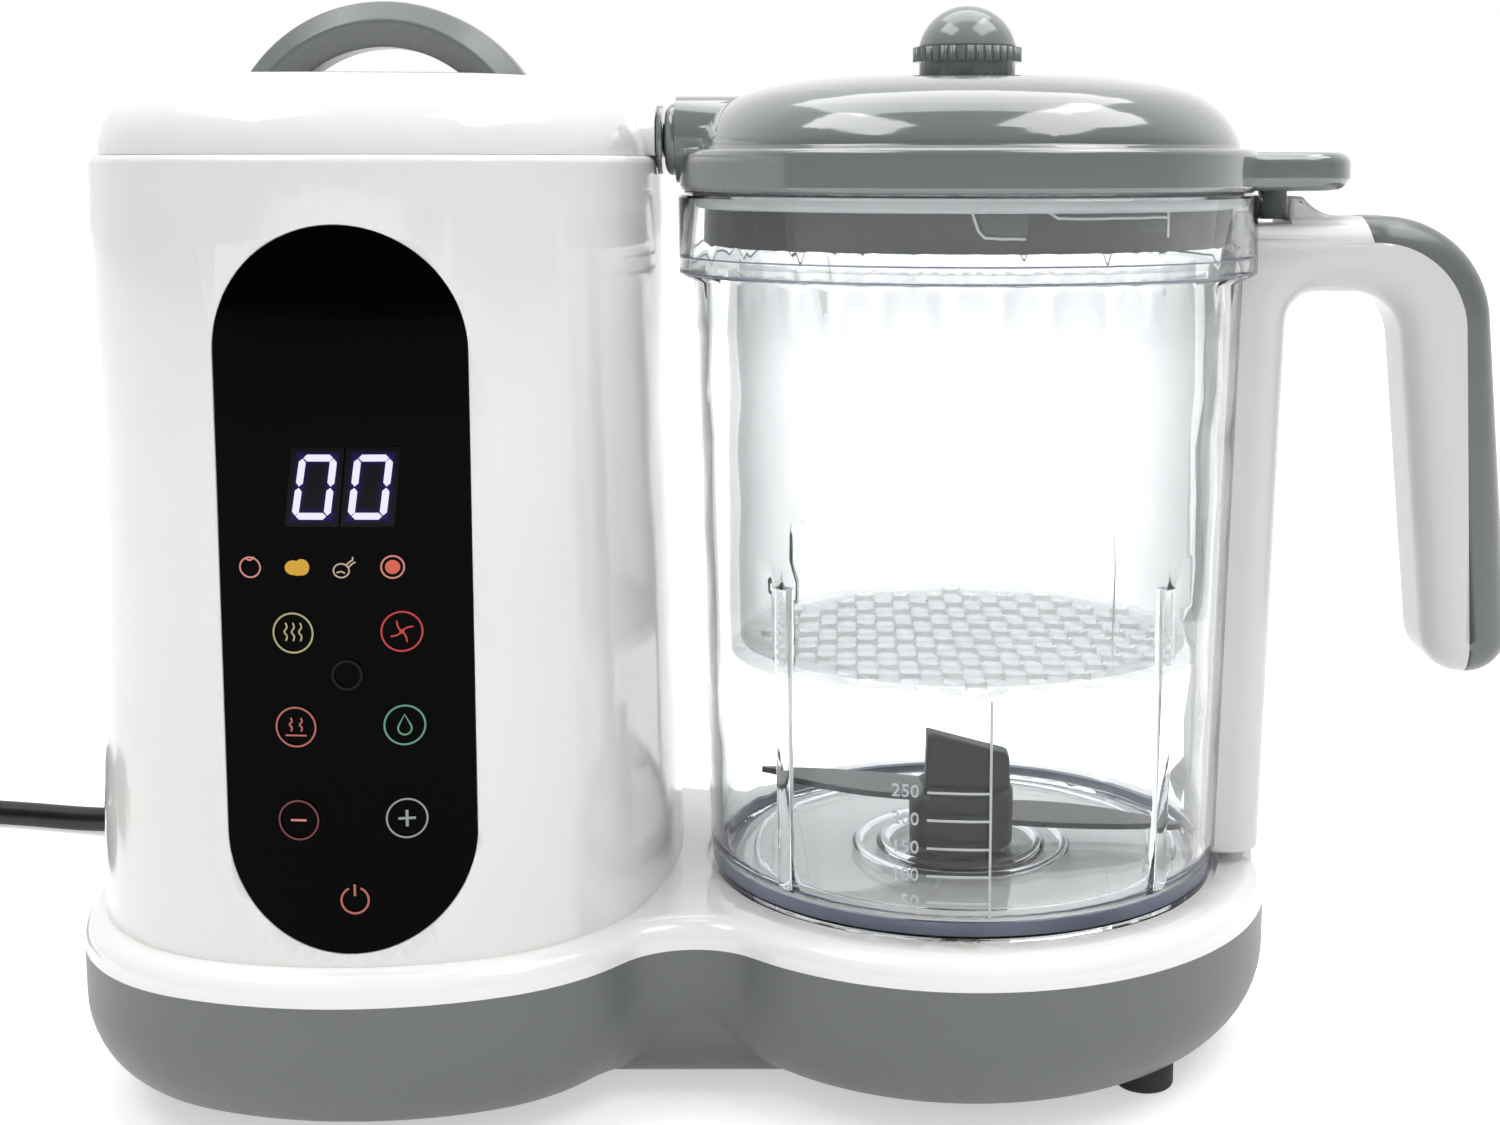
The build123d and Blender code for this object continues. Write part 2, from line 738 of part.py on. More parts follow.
def tower_shell():
    shell = tower * tower_solid(deck_top, tower_top)
    shell = fillet(shell.edges().group_by(Axis.Z)[-1], tower_shoulder_rounding)
    shell -= tower * tower_solid(deck_top - seat_gap, tower_top + seat_gap, tower_wall)
    ledge_top = bay_top - bay_plate
    ledge = tower_solid(ledge_top - ledge_height, ledge_top, tower_wall - seat_gap)
    ledge -= tower_solid(ledge_top - 2 * ledge_height, tower_top, tower_wall + ledge_width)
    shell += tower * ledge
    room = tower * tower_solid(deck_top, tower_top, tower_wall / 2)
    for share_x in (board_post_share, -board_post_share):
        for share_z in board_post_height_shares:
            height = deck_top + share_z * tower_height
            foot = (panel_x + share_x * board_half_width, -tower_half_width, height)
            shell += rod(board_post_radius, foot, (foot[0], board_front, height)) & room
    recess = panel_prism(slip_gap / 2, -2 * tower_half_width, 0)
    recess -= tower * tower_solid(deck_top - cut_over, tower_top + cut_over, panel_inset)
    shell -= recess
    shell -= block(panel_x - display_half_width - slip_gap, panel_x + display_half_width + slip_gap,
                   -2 * tower_half_width, board_front, display_low - slip_gap, display_high + slip_gap)
    return shell - nozzle_room()


def nozzle_room():
    # What the steam nozzle passes through: its leg and its arm, with a gap all round
    radius = nozzle_tube_radius + slip_gap
    foot_z = deck_top + nozzle_foot_height - cut_over
    room = rod(radius, (nozzle_bend_x, 0, foot_z), (nozzle_bend_x, 0, nozzle_z))
    room += Pos(nozzle_bend_x, 0, nozzle_z) * Sphere(radius)
    return room + rod(radius, (nozzle_bend_x, 0, nozzle_z), (nozzle_face_x + cut_over, 0, nozzle_z))


def control_panel():
    glass = tower * tower_solid(deck_top - cut_over, tower_top + cut_over, -panel_proud)
    glass -= tower * tower_solid(deck_top - 2 * cut_over, tower_top + 2 * cut_over, panel_inset)
    return glass & panel_prism(0, -2 * tower_half_width, -tower_half_width / 2)


def control_board():
    # Circuit board on the shell's four posts, with a touch pad behind each button
    low = deck_top + board_low
    high = deck_top + board_high
    board = block(panel_x - board_half_width, panel_x + board_half_width, board_front, board_back, low, high)
    for share_z in touch_pad_height_shares:
        for share_x in (touch_pad_share, -touch_pad_share):
            at = (panel_x + share_x * board_half_width, board_front, deck_top + share_z * tower_height)
            board += rod(touch_pad_radius, at, (at[0], board_front - touch_pad_thickness, at[2]))
    return board


def display_module():
    # Two-digit light-emitting display that reaches from the board to the back of the panel
    hollow = (panel_offset + display_half_width) ** 2 / (2 * tower_front_radius)
    front = -tower_half_width + panel_inset + tower_draw_in * display_high_share + hollow + slip_gap
    return block(panel_x - display_half_width, panel_x + display_half_width, front, board_front,
                 display_low, display_high)


def steam_nozzle():
    # An elbow from the boiler's steam pipe up to a round face beside the jug's lid
    foot_z = deck_top + nozzle_foot_height
    ring = rod(nozzle_ring_radius, (nozzle_face_x - nozzle_ring_thickness, 0, nozzle_z),
               (nozzle_face_x, 0, nozzle_z))
    arm = rod(nozzle_tube_radius, (nozzle_bend_x, 0, nozzle_z), (nozzle_face_x, 0, nozzle_z))
    leg = rod(nozzle_tube_radius, (nozzle_bend_x, 0, foot_z), (nozzle_bend_x, 0, nozzle_z))
    spout = rod(steam_pipe_bore - seat_gap, (nozzle_bend_x, 0, foot_z - steam_spout_length),
                (nozzle_bend_x, 0, foot_z + steam_spout_length))
    elbow = Pos(nozzle_bend_x, 0, nozzle_z) * Sphere(nozzle_tube_radius)
    bore = rod(nozzle_bore_radius, (nozzle_bend_x, 0, nozzle_z), (nozzle_face_x + cut_over, 0, nozzle_z))
    bore += rod(steam_spout_bore, (nozzle_bend_x, 0, foot_z - 2 * steam_spout_length),
                (nozzle_bend_x, 0, nozzle_z))
    bore += Pos(nozzle_bend_x, 0, nozzle_z) * Sphere(nozzle_bore_radius)
    return ring + arm + leg + elbow + spout - bore


def tank_bay():
    # A white liner that closes the tower's top and holds the tank like a drawer
    plate = tower_solid(bay_top - bay_plate + seat_gap, bay_top, tower_wall + seat_gap)
    bay = tower * plate
    outer_x = tank_half_length + free_gap + bay_wall
    outer_y = tank_half_width + free_gap + bay_wall
    outer_corner = tank_corner_radius + free_gap + bay_wall
    place = Pos(tank_x, tank_y, 0)
    bay += place * rounded_prism(outer_x, outer_y, outer_corner, bay_floor_top - bay_wall, bay_top)
    bay -= place * rounded_prism(outer_x - bay_wall, outer_y - bay_wall, outer_corner - bay_wall,
                                 bay_floor_top, bay_top + cut_over)
    rim = tank_rim_width + free_gap
    bay -= place * rounded_prism(
        tank_half_length + rim, tank_half_width + rim, tank_corner_radius + rim,
        tank_rim_top - tank_rim_thickness - seat_gap, bay_top + cut_over)
    bay -= post(dock_spout_radius + seat_gap, bay_floor_top - 2 * bay_wall, bay_floor_top + cut_over,
                dock_x, tank_y)
    return bay - nozzle_room()


def tank_dock():
    # The seat of the tank's valve, with a spout down through the bay's floor
    foot_z = bay_floor_top - dock_spout_length
    dock = tube(dock_radius, dock_radius - dock_wall, bay_floor_top, bay_floor_top + dock_height, dock_x, tank_y)
    dock += post(dock_radius, bay_floor_top, bay_floor_top + dock_height / 4, dock_x, tank_y)
    dock += post(dock_spout_radius, foot_z, bay_floor_top, dock_x, tank_y)
    return dock - post(spout_bore_radius, foot_z - cut_over, bay_floor_top + cut_over, dock_x, tank_y)


def water_tank():
    # An open tank with a flat rim, hung in the bay
    tank = rounded_prism(tank_half_length, tank_half_width, tank_corner_radius, tank_bottom, tank_rim_top)
    tank += rounded_prism(tank_half_length + tank_rim_width, tank_half_width + tank_rim_width,
                          tank_corner_radius + tank_rim_width, tank_rim_top - tank_rim_thickness, tank_rim_top)
    tank -= rounded_prism(tank_half_length - tank_wall, tank_half_width - tank_wall,
                          tank_corner_radius - tank_wall, tank_bottom + tank_wall, tank_rim_top + cut_over)
    tank = Pos(tank_x, tank_y, 0) * tank
    return tank - post(valve_stem_radius, tank_bottom - cut_over, tank_bottom + 2 * tank_wall, dock_x, tank_y)


def tank_valve():
    # A soft valve plugged into the tank's floor
    valve = post(valve_radius, tank_bottom - valve_length + tank_wall, tank_bottom, dock_x, tank_y)
    valve += post(valve_stem_radius, tank_bottom, tank_bottom + tank_wall + valve_length / 2, dock_x, tank_y)
    return valve - post(spout_bore_radius, tank_bottom - cut_over, tank_bottom + tank_wall, dock_x, tank_y)


# The tower's white lid and its arch handle
tank_lid_sections = 6
tank_lid_lip_depth = 3.0
tank_lid_lip_wall = 1.6
lid_collar_wall = 1.4
arch_set_in = 23.8
arch_radius = tower_half_length - arch_set_in
arch_drop = 17.7
arch_ridge_share = 0.874
arch_inner_share = 0.729
arch_crest_half_width = 2.8
arch_ridge_half_width = 7.0
arch_inner_half_width = 4.5
arch_rounding = 1.2
lid_bottom = tower_top + seat_gap


def dome_solid(inset, low, height):
    # The tower's outline drawn in along a quarter of an ellipse
    sections = []
    for step in range(tank_lid_sections + 1):
        angle = pi / 2 * step / tank_lid_sections
        draw = tank_lid_edge_width * (1 - cos(angle))
        face = tower_outline(tower_top, lid_inset + inset + draw)
        sections.append(Pos(0, 0, low - tower_top + height * sin(angle)) * face)
    return loft(sections)


def tank_lid():
    lid = tower * dome_solid(0, lid_bottom, tank_lid_height)
    collar_radius = nozzle_tube_radius + slip_gap + lid_collar_wall
    collar_end = nozzle_face_x - nozzle_ring_thickness - slip_gap
    collar = rod(collar_radius, (nozzle_bend_x, 0, nozzle_z), (collar_end, 0, nozzle_z))
    lid += collar & block(nozzle_bend_x, collar_end, -collar_radius, collar_radius, lid_bottom,
                          nozzle_z + collar_radius)
    lid -= tower * dome_solid(tank_lid_wall, lid_bottom - seat_gap, tank_lid_height - tank_lid_wall)
    lip_x = tank_half_length - tank_wall - slip_gap
    lip_y = tank_half_width - tank_wall - slip_gap
    lip_corner = tank_corner_radius - tank_wall - slip_gap
    lip = rounded_prism(lip_x, lip_y, lip_corner, lid_bottom - tank_lid_lip_depth,
                        lid_bottom + tank_lid_height / 2)
    lip -= rounded_prism(lip_x - tank_lid_lip_wall, lip_y - tank_lid_lip_wall, lip_corner - tank_lid_lip_wall,
                         lid_bottom - 2 * tank_lid_lip_depth, lid_bottom + tank_lid_height)
    ribs = block(-lip_x, lip_x, -tank_lid_lip_wall / 2, tank_lid_lip_wall / 2, lid_bottom + tank_lid_height / 3,
                 lid_bottom + tank_lid_height - tank_lid_wall / 2)
    ribs += block(-tank_lid_lip_wall / 2, tank_lid_lip_wall / 2, -lip_y, lip_y, lid_bottom + tank_lid_height / 3,
                  lid_bottom + tank_lid_height - tank_lid_wall / 2)
    lid += Pos(tank_x, tank_y, 0) * (lip + ribs)
    notch = rod(nozzle_tube_radius + slip_gap, (nozzle_bend_x - nozzle_tube_radius, 0, nozzle_z),
                (nozzle_face_x + cut_over, 0, nozzle_z))
    notch += block(nozzle_bend_x - nozzle_tube_radius, nozzle_face_x, -nozzle_tube_radius - slip_gap,
                   nozzle_tube_radius + slip_gap, lid_bottom - cut_over, nozzle_z)
    return lid - notch


def arch_handle():
    ridge = arch_radius * arch_ridge_share
    inner = arch_radius * arch_inner_share
    half = [(arch_radius, arch_crest_half_width), (ridge, arch_ridge_half_width), (inner, arch_inner_half_width)]
    corners = half + [(x, -y) for x, y in reversed(half)]
    section = make_face(Polyline(*corners, close=True))
    section = fillet(section.vertices(), arch_rounding)
    ring = revolve(section, Axis.Y)
    ring = Pos(tower_x, 0, lid_bottom + tank_lid_height - arch_drop) * ring
    floor = lid_bottom + tank_lid_height + seat_gap
    return ring & block(tower_x - 2 * arch_radius, tower_x + 2 * arch_radius, -2 * arch_ridge_half_width,
                        2 * arch_ridge_half_width, floor, floor + 2 * arch_radius)


# Motor: a can with field stack and bushes, and the armature with its fan
motor_radius = 28.0
motor_can_wall = 2.0
field_inner_radius = 21.5
field_low = 16.0
field_height = 32.0
armature_radius = 20.6
winding_radius = 16.0
winding_overhang = 4.0
commutator_radius = 8.5
commutator_height = 6.5
motor_bush_wall = 2.4
motor_bush_height = 5.0
fan_radius = 20.0
fan_hub_radius = 5.5
fan_low = 5.6
fan_height = 6.0
fan_disc = 1.2
fan_blades = 9
fan_blade_thickness = 1.2


def motor_bracket():
    plate = post(bracket_radius, deck_top, motor_low, motor_x, 0)
    return plate - post(motor_shaft_hole, deck_top - cut_over, motor_low + cut_over, motor_x, 0)


def motor_can():
    can = post(motor_radius, motor_low, motor_high, motor_x, 0)
    can -= post(motor_radius - motor_can_wall, motor_low + motor_can_wall, motor_high - motor_can_wall,
                motor_x, 0)
    return can - post(motor_shaft_radius + motor_bush_wall, motor_low - cut_over, motor_high + cut_over,
                      motor_x, 0)


def motor_bushes():
    outer = motor_shaft_radius + motor_bush_wall
    inner = motor_shaft_radius + running_gap
    lower = tube(outer, inner, motor_low, motor_low + motor_bush_height, motor_x, 0)
    upper = tube(outer, inner, motor_high - motor_bush_height, motor_high, motor_x, 0)
    return Compound(children=[lower, upper])


def motor_field():
    low = motor_low + field_low
    return tube(motor_radius - motor_can_wall, field_inner_radius, low, low + field_height, motor_x, 0)


def motor_armature():
    low = motor_low + field_low
    high = low + field_height
    body = post(motor_shaft_radius, belt_middle - belt_width, motor_high - motor_can_wall / 2, motor_x, 0)
    body += post(armature_radius, low, high, motor_x, 0)
    body += post(winding_radius, low - winding_overhang, high + winding_overhang, motor_x, 0)
    return body + post(commutator_radius, high, high + winding_overhang + commutator_height, motor_x, 0)


def motor_fan():
    low = motor_low + fan_low
    fan = post(fan_radius, low, low + fan_disc) + post(fan_hub_radius, low, low + fan_height)
    for index in range(fan_blades):
        blade = block(fan_hub_radius - fan_disc, fan_radius, -fan_blade_thickness / 2, fan_blade_thickness / 2,
                      low, low + fan_height)
        fan += Rot(0, 0, index * 360 / fan_blades) * blade
    return Pos(motor_x, 0, 0) * (fan - post(motor_shaft_radius, low - cut_over, low + fan_height + cut_over))


# Boiler, pump, hoses and the power board
boiler_radius = 18.0
boiler_height = 40.0
boiler_at_shares = (-0.33, 0.6)
boiler_leg_radius = 2.4
boiler_leg_height = 9.0
boiler_legs = 3
heater_radius = 2.6
heater_ring_radius = 9.0
heater_pin_radius = 1.4
heater_pin_length = 5.0
steam_pipe_radius = 4.4
steam_pipe_bore = 2.95
steam_spout_bore = 1.8
steam_spout_length = 7.0
steam_pipe_lift = 19.0
steam_pipe_above_motor = 6.0
steam_pipe_turn_shares = (0.33, 0.55)
steam_pipe_side_share = 0.34
steam_pipe_entry = 27.0
pump_half_length = 12.0
pump_half_width = 15.0
pump_height = 34.0
pump_at_shares = (-0.56, -0.36)
pump_barrel_radius = 7.0
pump_barrel_height = 12.0
spout_length = 6.0
feed_share = 0.45
feed_height = 19.0
hose_drop = 11.0
board_post_height = 5.0
power_board_half_length = 20.0
power_board_half_width = 32.0
power_board_at_share = -0.38
power_post_radius = 2.4
power_post_share = 0.84
capacitor_radius = 5.0
capacitor_height = 14.0
transformer_size = (18.0, 20.0, 13.0)
relay_size = (12.0, 15.0, 10.0)
boiler_x = tower_x + boiler_at_shares[0] * tower_half_length
boiler_y = boiler_at_shares[1] * tower_half_width
boiler_low = deck_top + boiler_leg_height
boiler_high = boiler_low + boiler_height
pump_x = tower_x + pump_at_shares[0] * tower_half_length
pump_y = pump_at_shares[1] * tower_half_width
pump_high = deck_top + pump_height + pump_barrel_height
feed_x = boiler_x - feed_share * boiler_radius
feed_z = deck_top + feed_height
feed_start_y = pump_y + pump_half_width + spout_length
feed_end_y = boiler_y - boiler_radius - spout_length
power_board_x = tower_x + power_board_at_share * lobe_half_length
power_board_z = bush_floor + board_post_height
power_post_places = [(power_board_x + sx * power_post_share * power_board_half_length,
                      sy * power_post_share * power_board_half_width) for sx in (1, -1) for sy in (1, -1)]


def boiler():
    # A cast boiler on three legs, with a ring groove underneath for its element
    body = post(boiler_radius, boiler_low, boiler_high, boiler_x, boiler_y)
    body -= tube(heater_ring_radius + heater_radius, heater_ring_radius - heater_radius,
                 boiler_low - cut_over, boiler_low + 2 * heater_radius, boiler_x, boiler_y)
    body += post(steam_pipe_bore - seat_gap, boiler_high, boiler_high + steam_spout_length, boiler_x, boiler_y)
    body += rod(dock_spout_radius, (feed_x, feed_end_y, feed_z), (feed_x, boiler_y, feed_z))
    leg_reach = boiler_radius - boiler_leg_radius - free_gap
    for index in range(boiler_legs):
        turn = radians(index * 360 / boiler_legs)
        body += post(boiler_leg_radius, deck_top, boiler_low + boiler_leg_radius,
                     boiler_x + leg_reach * cos(turn), boiler_y + leg_reach * sin(turn))
    return body - post(steam_spout_bore, boiler_high - cut_over, boiler_high + 2 * steam_spout_length,
                       boiler_x, boiler_y)


def boiler_heater():
    # A flat-sided element in a ring, with two pins for its wires
    half = heater_radius - seat_gap
    ring = tube(heater_ring_radius + half, heater_ring_radius - half, boiler_low + heater_radius - half,
                boiler_low + heater_radius + half)
    for side in (1, -1):
        ring += post(heater_pin_radius, boiler_low - heater_pin_length, boiler_low + heater_radius,
                     0, side * heater_ring_radius)
    return Pos(boiler_x, boiler_y, 0) * ring


def water_pump():
    # A vibration pump: its coil block, upright barrel and two spouts
    pump = block(pump_x - pump_half_length, pump_x + pump_half_length, pump_y - pump_half_width,
                 pump_y + pump_half_width, deck_top, deck_top + pump_height)
    pump += post(pump_barrel_radius, deck_top + pump_height, pump_high, pump_x, pump_y)
    pump += post(dock_spout_radius, pump_high, pump_high + spout_length, pump_x, pump_y)
    return pump + rod(dock_spout_radius, (feed_x, pump_y, feed_z), (feed_x, feed_start_y, feed_z))


def tank_hose():
    # From the tank's dock down to the pump, pushed over both spouts
    top = bay_floor_top - dock_spout_length + hose_overlap
    low = pump_high + spout_length - hose_overlap
    points = [(dock_x, tank_y, top), (dock_x, tank_y, top - hose_drop),
              (pump_x, pump_y, low + hose_drop), (pump_x, pump_y, low)]
    return bent_tube(points, bend_radii(points), hose_radius, dock_spout_radius + seat_gap)


def feed_hose():
    # A short straight hose from the pump to the boiler
    start = feed_start_y - hose_overlap
    end = feed_end_y + hose_overlap
    hose = rod(hose_radius, (feed_x, start, feed_z), (feed_x, end, feed_z))
    return hose - rod(dock_spout_radius + seat_gap, (feed_x, start - cut_over, feed_z),
                      (feed_x, end + cut_over, feed_z))


def steam_pipe():
    # From the boiler over the motor and up beside the tank's bay to the nozzle
    across = motor_high + steam_pipe_above_motor
    points = [(boiler_x, boiler_y, boiler_high),
              (boiler_x, boiler_y, boiler_high + steam_pipe_lift),
              (tower_x + steam_pipe_turn_shares[0] * tower_half_length,
               steam_pipe_turn_shares[1] * tower_half_width, across),
              (nozzle_bend_x, steam_pipe_side_share * tower_half_width, across + steam_pipe_radius / 2),
              (nozzle_bend_x, 0, deck_top + nozzle_foot_height - steam_pipe_entry),
              (nozzle_bend_x, 0, deck_top + nozzle_foot_height)]
    return bent_tube(points, bend_radii(points), steam_pipe_radius, steam_pipe_bore)


def power_board():
    # The mains board in the base under the tower, with its largest parts
    board = block(-power_board_half_length, power_board_half_length, -power_board_half_width,
                  power_board_half_width, power_board_z, power_board_z + board_thickness)
    top = power_board_z + board_thickness
    at = power_board_half_width / 2
    board += Pos(0, at, top + transformer_size[2] / 2) * Box(*transformer_size)
    board += Pos(-power_board_half_length / 2, -at, top + relay_size[2] / 2) * Box(*relay_size)
    board += post(capacitor_radius, top, top + capacitor_height, power_board_half_length / 2, -at)
    return Pos(power_board_x, 0, 0) * board


# The jug, in heights from the deck
jug_foot_slope = 0.7
jug_wall_low = jug_foot_height + jug_foot_slope
jug_floor_bottom = -jug_floor_drop
jug_floor_top = 1.5
jug_foot_width = 5.0
jug_foot_bore = jug_foot_radius - jug_foot_width
jug_foot_edge = 0.8
jug_corner_radius = 5.0
jug_collar_slope = 1.5
jug_collar_low = jug_body_height - jug_collar_slope
jug_rim_edge = 0.5
jug_boss_wall = 2.5
jug_boss_top = 4.0
jug_rib_half_width = 1.75
jug_rib_proud = 1.4
jug_rib_low = 4.0
jug_rib_high = 63.0
jug_rib_rounding_share = 0.9
jug_rib_first_angle = 45.0
jug_ribs = 4
spindle_radius = 3.0
spindle_bush_wall = 3.0
seal_ring_wall = 2.0
bush_radius = spindle_radius + spindle_bush_wall
seal_ring_radius = spindle_radius + seal_ring_wall
jug_boss_radius = bush_radius + jug_boss_wall
seal_ring_height = 1.6
handle_boss_radius = 4.0
handle_boss_depth = 3.6
handle_boss_skin = 2.0
handle_screw_hold = 2.8
handle_low_screw = 25.0
handle_high_screw_drop = 26.0
lid_hook_thickness = 4.6
lip_gap = 0.8
lip_thickness = 2.6
lip_drop = 0.4
lip_root_depth = 1.5
ramp_middle_reach = 5.4
ramp_middle_rise = 1.3
ramp_length = 11.0
lip_rounding = 1.0
lip_side_inset = 4.0
handle_boss_reach = spine_bottom_reach - handle_boss_depth
handle_head_reach = handle_boss_reach + handle_boss_skin
handle_screw_tip_reach = handle_boss_reach - handle_screw_hold
handle_screw_heights = (handle_low_screw, jug_body_height - handle_high_screw_drop)
lid_hook_root = jug_collar_radius + 2 * slip_gap
lid_hook_reach = lid_hook_root + lid_hook_thickness
lip_reach = lid_hook_reach + lip_gap
lip_outer_reach = lip_reach + lip_thickness
lip_top = jug_height - lip_drop
lip_cut_height = handle_top - lip_root_depth


def jug_wall_radius(height):
    # Outer radius of the jug's wall, which widens evenly upwards
    share = (height - jug_wall_low) / (jug_body_height - jug_wall_low)
    return jug_bottom_radius + share * (jug_top_radius - jug_bottom_radius)


def jug_outer(grow, top):
    # The jug's outside as a solid of revolution, grown by a gap
    bottom = seat_gap - seat_depth
    points = [(0, bottom), (jug_foot_radius - jug_foot_edge + grow, bottom),
              (jug_foot_radius + grow, bottom + jug_foot_edge), (jug_foot_radius + grow, jug_foot_height),
              (jug_bottom_radius + grow, jug_wall_low),
              (jug_wall_radius(jug_collar_low) + grow, jug_collar_low - grow),
              (jug_collar_radius + grow, jug_body_height), (jug_collar_radius + grow, top - jug_rim_edge),
              (jug_collar_radius - jug_rim_edge + grow, top), (0, top)]
    return turned(points)


def jug_vessel():
    vessel = jug_outer(0, jug_height)
    floor_radius = jug_wall_radius(jug_floor_top) - jug_wall
    hollow = cone(floor_radius, jug_top_radius - jug_wall, (0, 0, jug_floor_top), (0, 0, jug_body_height))
    hollow = fillet(hollow.edges().group_by(Axis.Z)[0], jug_corner_radius)
    for index in range(jug_ribs):
        rib = block(jug_bottom_radius - jug_wall - jug_rib_proud, jug_top_radius, -jug_rib_half_width,
                    jug_rib_half_width, jug_rib_low, jug_rib_high)
        rib = fillet(rib.edges().filter_by(Axis.Z), jug_rib_half_width * jug_rib_rounding_share)
        hollow -= Rot(0, 0, jug_rib_first_angle + index * 360 / jug_ribs) * rib
    vessel -= hollow
    vessel -= post(jug_collar_radius - jug_collar_wall, jug_body_height, jug_height + cut_over)
    vessel -= post(jug_foot_bore, -cut_over, jug_floor_bottom)
    vessel += post(jug_boss_radius, jug_floor_bottom, jug_boss_top)
    vessel -= post(bush_radius, -cut_over, jug_boss_top + cut_over)
    for height in handle_screw_heights:
        boss = rod(handle_boss_radius, (jug_wall_radius(height) - jug_wall / 2, 0, height),
                   (handle_boss_reach, 0, height))
        vessel += boss - rod(screw_shank_radius, (handle_screw_tip_reach - seat_gap, 0, height),
                             (handle_boss_reach + cut_over, 0, height))
    return jug_on_deck * vessel


def spindle_bush():
    return jug_on_deck * tube(bush_radius, spindle_radius + running_gap, jug_floor_bottom, jug_boss_top)


def spindle_seal():
    return jug_on_deck * tube(seal_ring_radius, spindle_radius + running_gap, jug_boss_top,
                              jug_boss_top + seal_ring_height)


# The handle: a white frame and a grey cover that clips over it
cover_top_depth = 26.9
cover_step_width = 3.8
cover_step_depth = 5.0
cover_thickness = 5.1
cover_bend = 18.0
cover_low_thickness = 9.2
cover_below_grip = 9.3
cover_top_reach = grip_outer_top - cover_top_depth
cover_step_reach = cover_top_reach + cover_step_width
cover_step_height = handle_top - cover_step_depth
cover_bend_reach = grip_outer_top - cover_thickness
cover_low_reach = grip_outer_bottom - cover_low_thickness
cover_low_height = handle_bottom - cover_below_grip


def cover_region(grow):
    corners = [
        ((cover_top_reach - grow, handle_top + 2 * cut_over), 0),
        ((cover_step_reach - grow, cover_step_height - grow), 0),
        ((cover_bend_reach - grow, cover_step_height - grow), cover_bend),
        ((cover_low_reach - grow, cover_low_height), 0),
        ((handle_reach + cut_over, cover_low_height), 0),
        ((handle_reach + cut_over, handle_top + 2 * cut_over), 0),
    ]
    return extrude(Plane.XZ * rounded_polygon(corners), handle_width, both=True)


def handle_frame():
    frame = soft_handle() - cover_region(seat_gap)
    frame -= jug_outer(seat_gap, jug_height + cut_over)
    frame -= block(0, lip_reach, -handle_width, handle_width, lip_cut_height, handle_top + cut_over)
    frame += handle_lip()
    for height in handle_screw_heights:
        frame -= rod(handle_boss_radius + seat_gap, (0, 0, height), (handle_boss_reach + seat_gap, 0, height))
        frame -= rod(screw_shank_radius + slip_gap, (0, 0, height), (handle_head_reach, 0, height))
        frame -= rod(screw_head_radius + slip_gap, (handle_head_reach, 0, height),
                     (spine_top_reach + free_gap, 0, height))
    return jug_on_deck * frame


def handle_lip():
    # The raised end of the frame behind the lid's hook, which runs down to the arm in a soft slope
    slope = Spline((lip_outer_reach, lip_top), (lip_reach + ramp_middle_reach, handle_top + ramp_middle_rise),
                   (lip_reach + ramp_length, handle_top))
    edges = [Line((lip_reach, lip_cut_height), (lip_reach, lip_top)),
             Line((lip_reach, lip_top), (lip_outer_reach, lip_top)), slope,
             Line((lip_reach + ramp_length, handle_top), (lip_reach + ramp_length, lip_cut_height)),
             Line((lip_reach + ramp_length, lip_cut_height), (lip_reach, lip_cut_height))]
    lip = extrude(Plane.XZ * make_face(edges), handle_width / 2 - lip_rounding - lip_side_inset, both=True)
    top = [edge for edge in lip.edges() if edge.center().Z > handle_top]
    return fillet([edge for edge in top if abs(edge.center().Y) > lip_rounding], lip_rounding)


def soft_handle():
    bar = extrude(Plane.XZ * handle_face, handle_width / 2, both=True)
    faces = bar.faces().sort_by(Axis.Y)
    edges = faces[0].edges() + faces[-1].edges()
    outer = [edge for edge in edges if edge.center().X > spine_top_reach + free_gap]
    return fillet(outer, handle_edge_rounding)


def handle_cover():
    return jug_on_deck * (soft_handle() & cover_region(0))


def handle_screws():
    screws = []
    for height in handle_screw_heights:
        head_end = handle_head_reach + screw_head_height
        head = rod(screw_head_radius, (handle_head_reach, 0, height), (head_end, 0, height))
        head -= rod(screw_shank_radius, (head_end - screw_head_height / 2, 0, height),
                    (head_end + cut_over, 0, height))
        screws.append(jug_on_deck * (head + rod(screw_shank_radius, (handle_screw_tip_reach, 0, height),
                                                (handle_head_reach, 0, height))))
    return Compound(children=screws)


# Steaming basket
basket_wall = 2.0
basket_above_blade = 19.9
blade_grip_high = 24.9
blade_grip_slope = 4.5
basket_radius = jug_bottom_radius - jug_wall - jug_rib_proud - free_gap
basket_flange_radius = jug_collar_bore - 2 * slip_gap
basket_bottom = blade_grip_high + basket_above_blade
basket_flange = 1.9
basket_hole_radius = 2.1
basket_hole_pitch = 8.0
basket_hole_reach_share = 0.87


def steam_basket():
    top = jug_body_height + seat_gap + basket_flange
    basket = post(basket_radius, basket_bottom, top)
    basket += post(basket_flange_radius, top - basket_flange, top)
    basket -= post(basket_radius - basket_wall, basket_bottom + basket_wall, top + cut_over)
    floor = Circle(basket_hole_reach_share * basket_radius + basket_hole_radius)
    row_step = basket_hole_pitch * sqrt(3) / 2
    places = []
    rows = int(basket_radius / row_step)
    for row in range(-rows, rows + 1):
        shift = basket_hole_pitch / 2 * (row % 2)
        for column in range(-rows, rows + 1):
            place = (column * basket_hole_pitch + shift, row * row_step)
            if Vector(*place).length < basket_hole_reach_share * basket_radius:
                places.append(place)
    basket -= Pos(0, 0, basket_bottom - cut_over) * extrude(floor, 2 * cut_over)
    floor -= Locations(*places) * Circle(basket_hole_radius)
    basket += Pos(0, 0, basket_bottom) * extrude(floor, basket_wall)
    return jug_on_deck * basket


